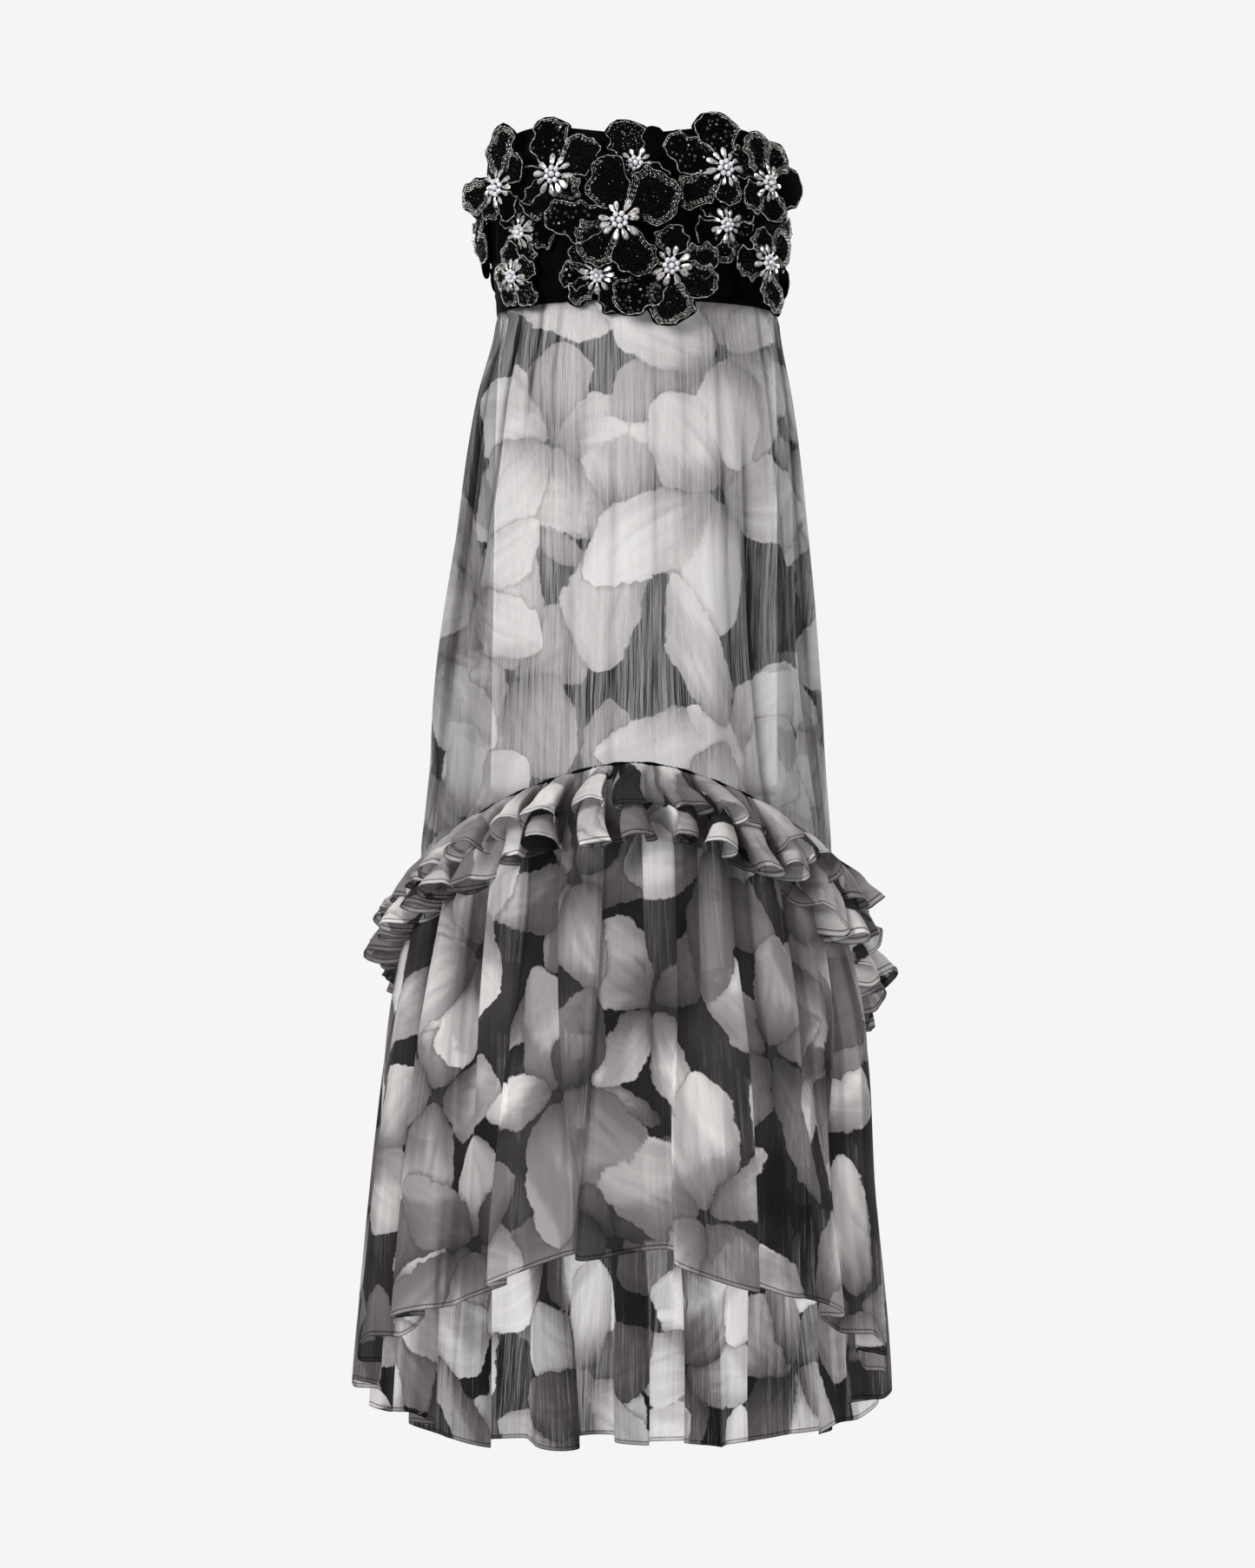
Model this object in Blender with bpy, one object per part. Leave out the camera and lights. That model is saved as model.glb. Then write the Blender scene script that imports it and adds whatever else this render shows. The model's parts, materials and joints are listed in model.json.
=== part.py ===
# A strapless maxi dress in its worn form, hollow, with nobody in it.
# A fitted bodice carries beaded flowers. Below its waist strip hang a short slip, a long A-line
# skirt, a double ruffle on a seam that dips to the back, and a gathered tier with a dipping hem.
# Metres, +Z up, front towards -Y, +X to the right in a front view. The origin is inside the
# bodice at bust height, where the body holds the dress up. Sizes below are in millimetres.

import math

import bpy
import numpy as np

MM = 0.001

# Thickness of each cloth
BODICE_WALL = 2.5
SKIRT_WALL = 1.5
SLIP_WALL = 1.2
RUFFLE_WALL = 1.4
PETAL_WALL = 2.2
SEAM_GAP = 0.3

# Heights of the horizontal seams and edges
STRIP_TOP = -84.0
WAIST = -103.0
SLIP_TOP = -103.1
SLIP_HEM = -600.0
# The skirt stops this share of the way down to the seam, so that its long straight facets
# stay clear of the tier's short ones
SKIRT_END = 0.9993

# The ruffle's seam and the tier's hem fall from the front to the back, alike on both sides.
# The first and last rows lie past the middles and only set the line's direction there.
#    angle   seam    hem
FALLING_LINES = np.array([
    (-30.0, -600.0, -1073.0),
    (0.0,   -574.0, -1036.0),
    (30.0,  -600.0, -1073.0),
    (60.0,  -651.0, -1127.0),
    (90.0,  -708.0, -1208.0),
    (120.0, -760.0, -1280.0),
    (150.0, -795.0, -1326.0),
    (180.0, -808.0, -1334.0),
    (210.0, -795.0, -1326.0),
])

# The form of the dress as rings. Each row gives the reach from the middle on four sides.
#    height    left   right  front  back
RINGS = np.array([
    (-1400.0, 286.0, 257.0, 262.0, 288.0),
    (-1197.0, 277.0, 250.0, 248.0, 268.0),
    (-999.0,  263.0, 237.0, 230.0, 240.0),
    (-837.0,  245.0, 230.0, 208.0, 214.0),
    (-708.0,  224.0, 206.0, 188.0, 196.0),
    (-621.0,  214.0, 198.0, 173.0, 182.0),
    (-477.0,  201.0, 185.0, 154.0, 160.0),
    (-333.0,  182.0, 176.0, 135.0, 138.0),
    (-189.0,  161.0, 162.0, 117.0, 113.0),
    (-103.0,  141.0, 148.0, 104.0, 98.0),
    (-40.0,   148.0, 150.0, 120.0, 100.0),
    (10.0,    152.0, 152.0, 128.0, 102.0),
    (72.0,    150.0, 150.0, 117.0, 99.0),
    (140.0,   150.0, 150.0, 114.0, 99.0),
])

# The slip hangs nearly straight from the waist
#    height    left   right  front  back
SLIP_RINGS = np.array([
    (-620.0,  148.0, 147.0, 128.0, 130.0),
    (-477.0,  146.0, 147.0, 125.0, 127.0),
    (-333.0,  144.0, 147.0, 119.0, 119.0),
    (-189.0,  142.0, 147.0, 108.5, 105.0),
    (-103.0,  138.7, 145.7, 101.7, 95.7),
])

# The bodice's top edge: angle from the front in degrees, height
TOP_EDGE = np.array([
    (-180.0, 45.0),
    (-135.0, 45.0),
    (-90.0,  48.0),
    (-45.0,  72.0),
    (0.0,    60.0),
    (45.0,   72.0),
    (90.0,   48.0),
    (135.0,  45.0),
    (180.0,  45.0),
])

# Soft folds of the skirt: angle of each crest in degrees, its height
SKIRT_FOLDS = np.array([
    (-172.0, 7.0),
    (-139.0, 9.0),
    (-108.0, 7.0),
    (-76.0,  8.0),
    (-50.0,  9.0),
    (-23.0,  5.0),
    (4.0,    6.0),
    (27.0,   5.0),
    (53.0,   8.0),
    (80.0,   9.0),
    (112.0,  8.0),
    (148.0,  8.0),
])

# Deep folds of the tier, front half. The back half repeats them, turned and mirrored.
TIER_FOLDS = np.array([
    (-85.0, 15.0),
    (-75.0, 20.0),
    (-64.0, 14.0),
    (-53.0, 22.0),
    (-43.0, 13.0),
    (-33.0, 21.0),
    (-22.0, 14.0),
    (-11.0, 23.0),
    (1.0,   17.0),
    (11.0,  22.0),
    (20.0,  13.0),
    (32.0,  24.0),
    (40.0,  14.0),
    (51.0,  22.0),
    (62.0,  15.0),
    (72.0,  20.0),
    (83.0,  16.0),
])

# Waves of the ruffle, front half: wide at each side of the middle, tight in the middle
RUFFLE_WAVES = np.array([
    (-85.0, 16.0),
    (-76.0, 12.0),
    (-68.0, 17.0),
    (-57.0, 13.0),
    (-44.0, 17.0),
    (-31.0, 15.0),
    (-24.0, 11.0),
    (-17.0, 15.0),
    (-11.0, 11.0),
    (-5.0,  15.0),
    (2.0,   12.0),
    (8.0,   15.0),
    (14.0,  11.0),
    (20.0,  14.0),
    (28.0,  15.0),
    (39.0,  16.0),
    (51.0,  16.0),
    (60.0,  12.0),
    (68.0,  16.0),
    (76.0,  12.0),
    (84.0,  17.0),
])

# Share of a fold's height at the gathered waist and at the top of the tier, the skirt's power
# that puts its deepest folds low, and the ruffle's power for how soon its waves open
WAIST_GATHER = 0.05
TIER_GATHER = 0.10
SKIRT_FOLD_BEND = 1.4
RUFFLE_OPENING = 0.9

# How far each layer of the ruffle runs from its stitching, and its slope below level at the
# stitching and at the hem, in degrees, in front and at the sides
UPPER_RUFFLE = {"rise": 7.0, "length": 64.0, "front": (24.0, 80.0), "side": (12.0, 74.0)}
LOWER_RUFFLE = {"rise": 4.0, "length": 86.0, "front": (38.0, 88.0), "side": (28.0, 86.0)}
# Where the ruffle hangs longer or shorter than the rest: angle, spread, share more
RUFFLE_SWINGS = np.array([
    (-84.0, 12.0, -0.20),
    (68.0,  9.0,  0.20),
    (93.0,  12.0, -0.32),
    (122.0, 17.0, 0.42),
])

# The flowers. x and z are the centre's place, x measured round the bodice from the front
# middle, level is how many petals deep it lies over its neighbours, and lift bends its
# petals out at the side. Each petal has its direction in degrees, its length and its width.
#  name   x       z     level lift  petals
FLOWERS = [
    ("a", -137.0, 12.0,  2, 13.0,
     ((45, 38, 29), (86, 63, 31), (187, 54, 30), (236, 34, 24), (300, 35, 25))),
    ("b", -77.0,  17.0,  1, 0.0,
     ((36, 52, 35), (96, 57, 38), (190, 54, 33), (236, 46, 37), (318, 35, 25))),
    ("c", 1.0,    25.0,  0, 0.0,
     ((58, 44, 31), (106, 48, 35), (198, 50, 35), (262, 36, 29), (328, 40, 29))),
    ("d", 87.0,   24.0,  1, 0.0,
     ((22, 44, 31), (100, 55, 42), (162, 63, 35), (216, 58, 31), (286, 35, 27))),
    ("e", 133.0,  15.0,  2, 9.0,
     ((2, 54, 32), (68, 46, 31), (114, 52, 33), (222, 35, 27), (288, 38, 29))),
    ("f", -122.0, -31.0, 0, 0.0,
     ((56, 48, 37), (124, 38, 29), (200, 44, 37), (272, 44, 30), (350, 42, 29))),
    ("g", -13.0,  -26.0, 3, 0.0,
     ((36, 60, 43), (108, 56, 35), (182, 69, 35), (230, 63, 41), (298, 58, 37))),
    ("h", 93.0,   -27.0, 0, 0.0,
     ((46, 44, 31), (126, 35, 27), (212, 36, 31), (268, 38, 31), (330, 42, 33))),
    ("i", -38.0,  -78.0, 0, 0.0,
     ((70, 33, 25), (132, 40, 25), (176, 42, 27), (216, 40, 25), (308, 46, 33))),
    ("j", 34.0,   -67.0, 2, 0.0,
     ((8, 48, 31), (88, 38, 29), (222, 71, 41), (269, 67, 41), (334, 52, 35))),
    ("k", 144.0,  -58.0, 1, 8.0,
     ((38, 46, 33), (112, 36, 27), (190, 42, 31), (236, 44, 31), (288, 56, 29))),
    ("l", -133.0, -72.0, 1, 0.0,
     ((20, 31, 23), (98, 35, 25), (176, 33, 25), (240, 35, 27), (304, 42, 25))),
    ("m", -226.0, -20.0, 1, 0.0,
     ((35, 46, 33), (104, 42, 31), (178, 44, 33), (250, 40, 31), (322, 44, 31))),
    ("n", -300.0, 4.0,   0, 0.0,
     ((2, 40, 31), (75, 43, 33), (146, 38, 29), (220, 42, 33), (290, 40, 29))),
    ("o", 226.0,  -16.0, 0, 0.0,
     ((25, 44, 33), (96, 46, 35), (170, 40, 29), (242, 44, 33), (312, 42, 31))),
    ("p", 300.0,  2.0,   1, 0.0,
     ((65, 43, 33), (138, 40, 31), (208, 42, 33), (282, 38, 29), (352, 41, 31))),
    ("q", -268.0, -66.0, 0, 0.0,
     ((10, 35, 27), (82, 33, 25), (156, 34, 27), (226, 35, 27), (298, 33, 25))),
    ("r", 264.0,  -66.0, 1, 0.0,
     ((40, 35, 27), (112, 33, 25), (184, 35, 27), (258, 34, 25), (330, 33, 25))),
]
# A petal is an oval whose middle lies this share of its length out. Four points of the
# outline stand on each petal, from its tip on, and a notch is never deeper than this share
# of the longest petal. Petals have a slight warp.
PETAL_MIDDLE = 0.58
PETAL_STEPS = np.array((0.0, 0.27, 0.5, 0.73))
NOTCH = 0.44
PETAL_WARP = 0.9
# How far the lowest petals stand off the bodice, and each level over the one below
LOWEST_RISE = 2.8
LEVEL_STEP = 6.0
# The jewelled middle, the foot sewn to the bodice, and the neck between foot and petals
BEAD_RADIUS = 9.0
BEAD_RISE = 7.0
BEAD_EDGE = 0.6
FOOT_RADIUS = 6.0
NECK_SHARE = 0.30
NECK_MOST = 0.75
NECK_CLEARANCE = 3.0

SIDE_SEAM = math.pi / 2


def clear_scene():
    for item in list(bpy.data.objects):
        bpy.data.objects.remove(item, do_unlink=True)


def cloth_material(name, colour, roughness):
    material = bpy.data.materials.new(name)
    material.use_nodes = True
    shader = material.node_tree.nodes["Principled BSDF"]
    shader.inputs["Base Color"].default_value = (*colour, 1.0)
    shader.inputs["Roughness"].default_value = roughness
    shader.inputs["Metallic"].default_value = 0.0
    material.diffuse_color = (*colour, 1.0)
    return material


def read_rows(rows, at):
    # Every column of a table, read at a value of its first column, on a smooth cubic
    # through its rows.
    at = np.clip(np.asarray(at, float), rows[0, 0], rows[-1, 0])
    slopes = np.gradient(rows[:, 1:], rows[:, 0], axis=0)
    low = np.clip(np.searchsorted(rows[:, 0], at) - 1, 0, len(rows) - 2)
    width = (rows[low + 1, 0] - rows[low, 0])[..., None]
    u = (at - rows[low, 0])[..., None] / width
    start, end = rows[low, 1:], rows[low + 1, 1:]
    blend = u * u * (3 - 2 * u)
    curl = width * u * (1 - u)
    return start + (end - start) * blend + curl * ((1 - u) * slopes[low] - u * slopes[low + 1])


def ring_point(rings, angle, height):
    # A point on a ring of four quarter ellipses.
    left, right, front, back = np.moveaxis(read_rows(rings, height), -1, 0)
    x = np.where(np.sin(angle) < 0, left, right) * np.sin(angle)
    y = -np.where(np.cos(angle) > 0, front, back) * np.cos(angle)
    return np.stack([x, y, height + 0.0 * x], axis=-1)


def falling_line(angle, column):
    degrees = np.abs((np.degrees(angle) + 180.0) % 360.0 - 180.0)
    return read_rows(FALLING_LINES, degrees)[..., column]


def seam_height(angle):
    return falling_line(angle, 0)


def hem_height(angle):
    return falling_line(angle, 1)


def with_back(rows):
    # The front half's crests, and the same ones turned half round and mirrored for the back.
    back = np.column_stack([180.0 - rows[:, 0], rows[:, 1]])
    whole = np.vstack([rows, back])
    whole[:, 0] = (whole[:, 0] + 180.0) % 360.0 - 180.0
    return whole[np.argsort(whole[:, 0])]


def crest_and_next(crests, angle):
    # For each angle, the crest before it, the one after it, and the share of the way between.
    degrees = (np.degrees(angle) + 180.0) % 360.0 - 180.0
    first, last = crests[0], crests[-1]
    round_all = np.vstack([last - (360.0, 0.0), crests, first + (360.0, 0.0)])
    low = np.clip(np.searchsorted(round_all[:, 0], degrees) - 1, 0, len(round_all) - 2)
    before, after = round_all[low], round_all[low + 1]
    share = (degrees - before[..., 0]) / (after[..., 0] - before[..., 0])
    return before, after, share


def wave(crests, angle):
    # Up to each crest's height on the crest, and as far down half way to the next.
    before, after, share = crest_and_next(crests, angle)
    height = before[..., 1] + (after[..., 1] - before[..., 1]) * share
    return height * np.cos(2 * math.pi * share)


def wave_angles(crests, start, end, per_wave):
    # The columns of a folded wall between two side seams, the same number on each fold.
    degrees = np.sort(np.concatenate([crests[:, 0] - 360, crests[:, 0], crests[:, 0] + 360]))
    steps = (np.arange(len(degrees) * per_wave) + 0.5) / per_wave
    columns = np.radians(np.interp(steps, np.arange(len(degrees)), degrees))
    inside = columns[(columns > start + 0.02) & (columns < end - 0.02)]
    return np.concatenate([[start], inside, [end]])


def level_direction(points):
    # Straight out from the dress's middle line, level with the ground.
    level = points * (1.0, 1.0, 0.0)
    return level / np.linalg.norm(level, axis=-1, keepdims=True)


TIER_ROUND = with_back(TIER_FOLDS)
RUFFLE_ROUND = with_back(RUFFLE_WAVES)


def away(surface, angle, down):
    # The outward direction of a surface, from two small steps on it.
    step = 0.002
    along = surface(angle + step, down) - surface(angle - step, down)
    fall = surface(angle, down + step) - surface(angle, down - step)
    normal = np.cross(fall, along)
    return normal / np.linalg.norm(normal, axis=-1, keepdims=True)


def bodice_surface(angle, down):
    degrees = (np.degrees(angle) + 180.0) % 360.0 - 180.0
    top = read_rows(TOP_EDGE, degrees)[..., 0]
    return ring_point(RINGS, angle, top + (STRIP_TOP - top) * down)


def strip_surface(angle, down):
    return ring_point(RINGS, angle, STRIP_TOP + (WAIST - STRIP_TOP) * down)


def slip_surface(angle, down):
    return ring_point(SLIP_RINGS, angle, SLIP_TOP + (SLIP_HEM - SLIP_TOP) * down)


def skirt_surface(angle, down):
    # Its folds are shallow at the gathered waist and at the ruffle's stitching.
    height = WAIST + (seam_height(angle) - WAIST) * down
    base = ring_point(RINGS, angle, height)
    swell = np.sin(math.pi * np.clip(down, 0, 1) ** SKIRT_FOLD_BEND) ** 2
    depth = WAIST_GATHER + (1 - WAIST_GATHER) * swell
    return base + level_direction(base) * (wave(SKIRT_FOLDS, angle) * depth)[..., None]


def tier_surface(angle, down):
    # Its folds start small under the ruffle and open out to the hem.
    height = seam_height(angle) + (hem_height(angle) - seam_height(angle)) * down
    base = ring_point(RINGS, angle, height)
    depth = TIER_GATHER + (1 - TIER_GATHER) * np.sin(math.pi / 2 * np.clip(down, 0, 1))
    return base + level_direction(base) * (wave(TIER_ROUND, angle) * depth)[..., None]


def ruffle_swing(angle):
    degrees = (np.degrees(angle) + 180.0) % 360.0 - 180.0
    away_from = (degrees[..., None] - RUFFLE_SWINGS[:, 0]) / RUFFLE_SWINGS[:, 1]
    return 1 + (RUFFLE_SWINGS[:, 2] * np.exp(-away_from * away_from)).sum(axis=-1)


def ruffle_surface(layer, stand):
    # The layer leaves the skirt just above the seam, arches out and turns down to its hem.
    # Its waves lie square to that arch and grow from nothing at the stitching.
    def surface(angle, down):
        start = 1 - layer["rise"] / (WAIST - seam_height(angle))
        root = skirt_surface(angle, start) + away(skirt_surface, angle, start) * stand
        side = np.sin(angle) ** 2
        first = np.radians(layer["front"][0] + (layer["side"][0] - layer["front"][0]) * side)
        last = np.radians(layer["front"][1] + (layer["side"][1] - layer["front"][1]) * side)
        length = layer["length"] * ruffle_swing(angle)
        slope = first + (last - first) * down
        out = length * (np.sin(slope) - np.sin(first)) / (last - first)
        drop = length * (np.cos(first) - np.cos(slope)) / (last - first)
        size = wave(RUFFLE_ROUND, angle) * np.maximum(down, 0) ** RUFFLE_OPENING
        sideways = (out + size * np.sin(slope))[..., None]
        upward = (size * np.cos(slope) - drop)[..., None]
        return root + level_direction(root) * sideways + np.array((0.0, 0.0, 1.0)) * upward
    return surface


def add_object(name, points, faces, material):
    mesh = bpy.data.meshes.new(name)
    mesh.from_pydata((points * MM).tolist(), [], faces)
    mesh.materials.append(material)
    mesh.shade_smooth()
    mesh.set_sharp_from_angle(angle=math.radians(50))
    item = bpy.data.objects.new(name, mesh)
    bpy.context.scene.collection.objects.link(item)
    return item


def draw_in(points):
    # Moves each free edge of a grid of points half a seam gap towards its neighbour.
    moved = points.copy()
    for edge, inner in ((0, 1), (-1, -2)):
        step = points[inner] - points[edge]
        step = step / np.linalg.norm(step, axis=-1, keepdims=True)
        moved[edge] += step * SEAM_GAP / 2
    return moved


def half_wall(middle, thickness):
    # From the middle of a ring's wall to its outer face. It halves the corner between the
    # facets on both sides, and is longer at a sharper corner, so that the wall stays even.
    fall = np.gradient(middle, axis=1)
    after = np.cross(fall, np.roll(middle, -1, axis=0) - middle)
    before = np.cross(fall, middle - np.roll(middle, 1, axis=0))
    after = after / np.linalg.norm(after, axis=-1, keepdims=True)
    before = before / np.linalg.norm(before, axis=-1, keepdims=True)
    out = after + before
    out = out / np.linalg.norm(out, axis=-1, keepdims=True)
    corner = (out * after).sum(axis=-1, keepdims=True)
    return out * thickness / 2 / np.clip(corner, 0.62, 1)


def wall_between(name, middle, half, material, ring=False):
    # A closed wall, as an outer and an inner grid joined round their edges.
    if not ring:
        middle = draw_in(middle)
    middle = np.swapaxes(draw_in(np.swapaxes(middle, 0, 1)), 0, 1)
    columns, rows = middle.shape[:2]
    points = np.concatenate([(middle + half).reshape(-1, 3), (middle - half).reshape(-1, 3)])
    inner = columns * rows
    faces = []
    for i in range(columns if ring else columns - 1):
        here, there = i * rows, (i + 1) % columns * rows
        for j in range(rows - 1):
            # Both sides of the wall are cut on the same diagonals, so that they can't cross.
            near, low, far, high = here + j, here + j + 1, there + j + 1, there + j
            for outer_face in ((near, low, far), (near, far, high)):
                faces.append(outer_face)
                faces.append(tuple(inner + corner for corner in reversed(outer_face)))
        faces.append((here, there, inner + there, inner + here))
        foot, next_foot = here + rows - 1, there + rows - 1
        faces.append((next_foot, foot, inner + foot, inner + next_foot))
    if not ring:
        last = (columns - 1) * rows
        # So are the two pieces at a seam.
        for j in range(rows - 1):
            end = last + j
            faces.append((j + 1, j, inner + j))
            faces.append((j + 1, inner + j, inner + j + 1))
            faces.append((end, end + 1, inner + end))
            faces.append((end + 1, inner + end + 1, inner + end))
    return add_object(name, points, faces, material)


def whole_ring(surface, columns, downs, thickness):
    angle, down = np.meshgrid(columns, downs, indexing="ij")
    middle = surface(angle, down)
    return middle, half_wall(middle, thickness)


def front_and_back(name, surface, front, back, downs, thickness, material):
    # The two pieces share the columns at their seams, and so the wall's direction there.
    columns = np.concatenate([front[:-1], back[:-1]])
    middle, half = whole_ring(surface, columns, downs, thickness)
    seam = len(front) - 1
    ahead = np.arange(0, seam + 1)
    behind = np.arange(seam, len(columns) + 1) % len(columns)
    wall_between(name + "_front", middle[ahead], half[ahead], material)
    wall_between(name + "_back", middle[behind], half[behind], material)


def even_angles(start, count):
    return start + np.linspace(0.0, math.pi, count + 1)


def round_the_bust():
    # Distance round the bust from the front middle, for each angle, so that a flower keeps
    # its size where the bodice turns away.
    angles = np.linspace(-math.pi, math.pi, 721)
    ring = ring_point(RINGS, angles, 0.0 * angles)
    steps = np.linalg.norm(np.diff(ring, axis=0), axis=-1)
    distance = np.concatenate([[0.0], np.cumsum(steps)])
    return angles, distance - distance[len(angles) // 2]


BUST_ANGLES, BUST_DISTANCES = round_the_bust()


def on_bodice(x, z, height):
    # A point this far out from the bodice's wall, at a distance round it and a height.
    angle = np.interp(x, BUST_DISTANCES, BUST_ANGLES)

    def sheet(at_angle, down):
        return ring_point(RINGS, at_angle, z - down)

    return ring_point(RINGS, angle, z) + away(sheet, angle, 0.0 * angle) * height[..., None]


def outline_angles(petals):
    directions = np.radians([petal[0] for petal in petals])
    gaps = np.mod(np.roll(directions, -1) - directions, 2 * math.pi)
    return (directions[:, None] + gaps[:, None] * PETAL_STEPS).ravel()


def petal_reach(row, theta):
    # The far side of the outermost oval petal in each direction. A petal stops short of the
    # raised centre of any flower beside it.
    name, x, z, level, lift, petals = row
    longest = max(petal[1] for petal in petals)
    length = np.full(theta.shape, NOTCH * longest)
    for direction, reach, width in petals:
        off = theta - math.radians(direction)
        middle, half_long, half_wide = PETAL_MIDDLE * reach, (1 - PETAL_MIDDLE) * reach, width / 2
        square = (np.cos(off) / half_long) ** 2 + (np.sin(off) / half_wide) ** 2
        slope = middle * np.cos(off) / half_long ** 2
        inside = slope * slope - square * ((middle / half_long) ** 2 - 1)
        far = (slope + np.sqrt(np.clip(inside, 0, None))) / square
        length = np.where((inside > 0) & (np.cos(off) > 0), np.maximum(length, far), length)
    for other in FLOWERS:
        if other[0] == name:
            continue
        across, rise = other[1] - x, other[2] - z
        along = across * np.cos(theta) + rise * np.sin(theta)
        beside = np.abs(across * np.sin(theta) - rise * np.cos(theta))
        keep = max(petal[1] for petal in other[5]) * NECK_SHARE + NECK_CLEARANCE
        meets = (along > 0) & (beside < keep)
        limit = along - np.sqrt(np.clip(keep * keep - beside * beside, 0, None))
        length = np.where(meets, np.minimum(length, limit), length)
    return length


def flower(row, material):
    # One closed body: a padded centre on the bodice, a neck, and petals that stand off it.
    name, x, z, level, lift, petals = row
    theta = outline_angles(petals)
    outline = petal_reach(row, theta)
    reach = max(petal[1] for petal in petals)
    seat = BODICE_WALL / 2 + SEAM_GAP + PETAL_WALL / 2
    flat = seat + LOWEST_RISE + LEVEL_STEP * level
    side = 1.0 if x > 0 else -1.0

    def ring(radius, height):
        return on_bodice(x + radius * np.cos(theta), z + radius * np.sin(theta), height)

    even = np.ones_like(theta)
    neck = np.minimum(NECK_SHARE * reach, NECK_MOST * outline)
    tip_lift = lift * np.clip(side * np.cos(theta), 0, 1) + PETAL_WARP * np.cos(2 * theta + x)
    half = PETAL_WALL / 2
    outer = [
        ring(BEAD_RADIUS * even, (flat + half + BEAD_EDGE * BEAD_RISE) * even),
        ring(neck, (flat + half) * even),
        ring(outline, flat + half + tip_lift),
    ]
    inner = [
        ring(FOOT_RADIUS * even, (seat - half) * even),
        ring(neck, (flat - half) * even),
        ring(outline, flat - half + tip_lift),
    ]
    point = np.array([x]), np.array([z])
    crown = on_bodice(*point, np.array([flat + half + BEAD_RISE]))
    foot = on_bodice(*point, np.array([seat - half]))
    points = np.concatenate([crown, *outer, foot, *inner])
    count = len(theta)
    faces = []
    for k in range(count):
        n = (k + 1) % count
        base = 1 + 3 * count
        faces.append((0, 1 + k, 1 + n))
        faces.append((base, base + 1 + n, base + 1 + k))
        for step in range(2):
            low, high = 1 + step * count, 1 + (step + 1) * count
            # The petals' two sides are cut on the same diagonals, so that they can't cross.
            for top_face in ((low + k, high + k, high + n), (low + k, high + n, low + n)):
                faces.append(top_face)
                faces.append(tuple(base + corner for corner in reversed(top_face)))
        rim = 1 + 2 * count
        faces.append((rim + k, base + rim + k, base + rim + n, rim + n))
    return add_object("flower_" + name, points, faces, material)


def main():
    clear_scene()
    black = cloth_material("black_cloth", (0.012, 0.012, 0.014), 0.9)
    beaded = cloth_material("beaded_applique", (0.03, 0.03, 0.035), 0.45)
    pale = cloth_material("slip_cloth", (0.72, 0.71, 0.70), 0.8)
    print_cloth = cloth_material("printed_chiffon", (0.40, 0.39, 0.40), 0.85)

    front, back = even_angles(-SIDE_SEAM, 24), even_angles(SIDE_SEAM, 24)
    front_and_back("bodice", bodice_surface, front, back, np.linspace(0, 1, 9), BODICE_WALL, black)
    front_and_back("waist_strip", strip_surface, front, back, np.linspace(0, 1, 2), BODICE_WALL, black)

    front, back = even_angles(-SIDE_SEAM, 28), even_angles(SIDE_SEAM, 28)
    downs = np.linspace(0, SKIRT_END, 6)
    front_and_back("skirt", skirt_surface, front, back, downs, SKIRT_WALL, print_cloth)

    round_slip = np.linspace(-math.pi, math.pi, 29)[:-1]
    middle, half = whole_ring(slip_surface, round_slip, np.linspace(0, 1, 5), SLIP_WALL)
    wall_between("slip", middle, half, pale, ring=True)

    front = wave_angles(TIER_ROUND, -SIDE_SEAM, SIDE_SEAM, 4)
    back = wave_angles(TIER_ROUND, SIDE_SEAM, 3 * SIDE_SEAM, 4)
    front_and_back("tier", tier_surface, front, back, np.linspace(0, 1, 6), SKIRT_WALL, print_cloth)

    front = wave_angles(RUFFLE_ROUND, -SIDE_SEAM, SIDE_SEAM, 4)
    back = wave_angles(RUFFLE_ROUND, SIDE_SEAM, 3 * SIDE_SEAM, 4)
    lower_stand = SKIRT_WALL / 2 + SEAM_GAP + RUFFLE_WALL / 2
    upper_stand = lower_stand + RUFFLE_WALL + SEAM_GAP
    lower = ruffle_surface(LOWER_RUFFLE, lower_stand)
    upper = ruffle_surface(UPPER_RUFFLE, upper_stand)
    downs = np.array((0.0, 0.35, 1.0))
    front_and_back("ruffle_lower", lower, front, back, downs, RUFFLE_WALL, print_cloth)
    front_and_back("ruffle_upper", upper, front, back, downs, RUFFLE_WALL, print_cloth)

    for row in FLOWERS:
        flower(row, beaded)


main()
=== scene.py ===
import json
import math

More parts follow.
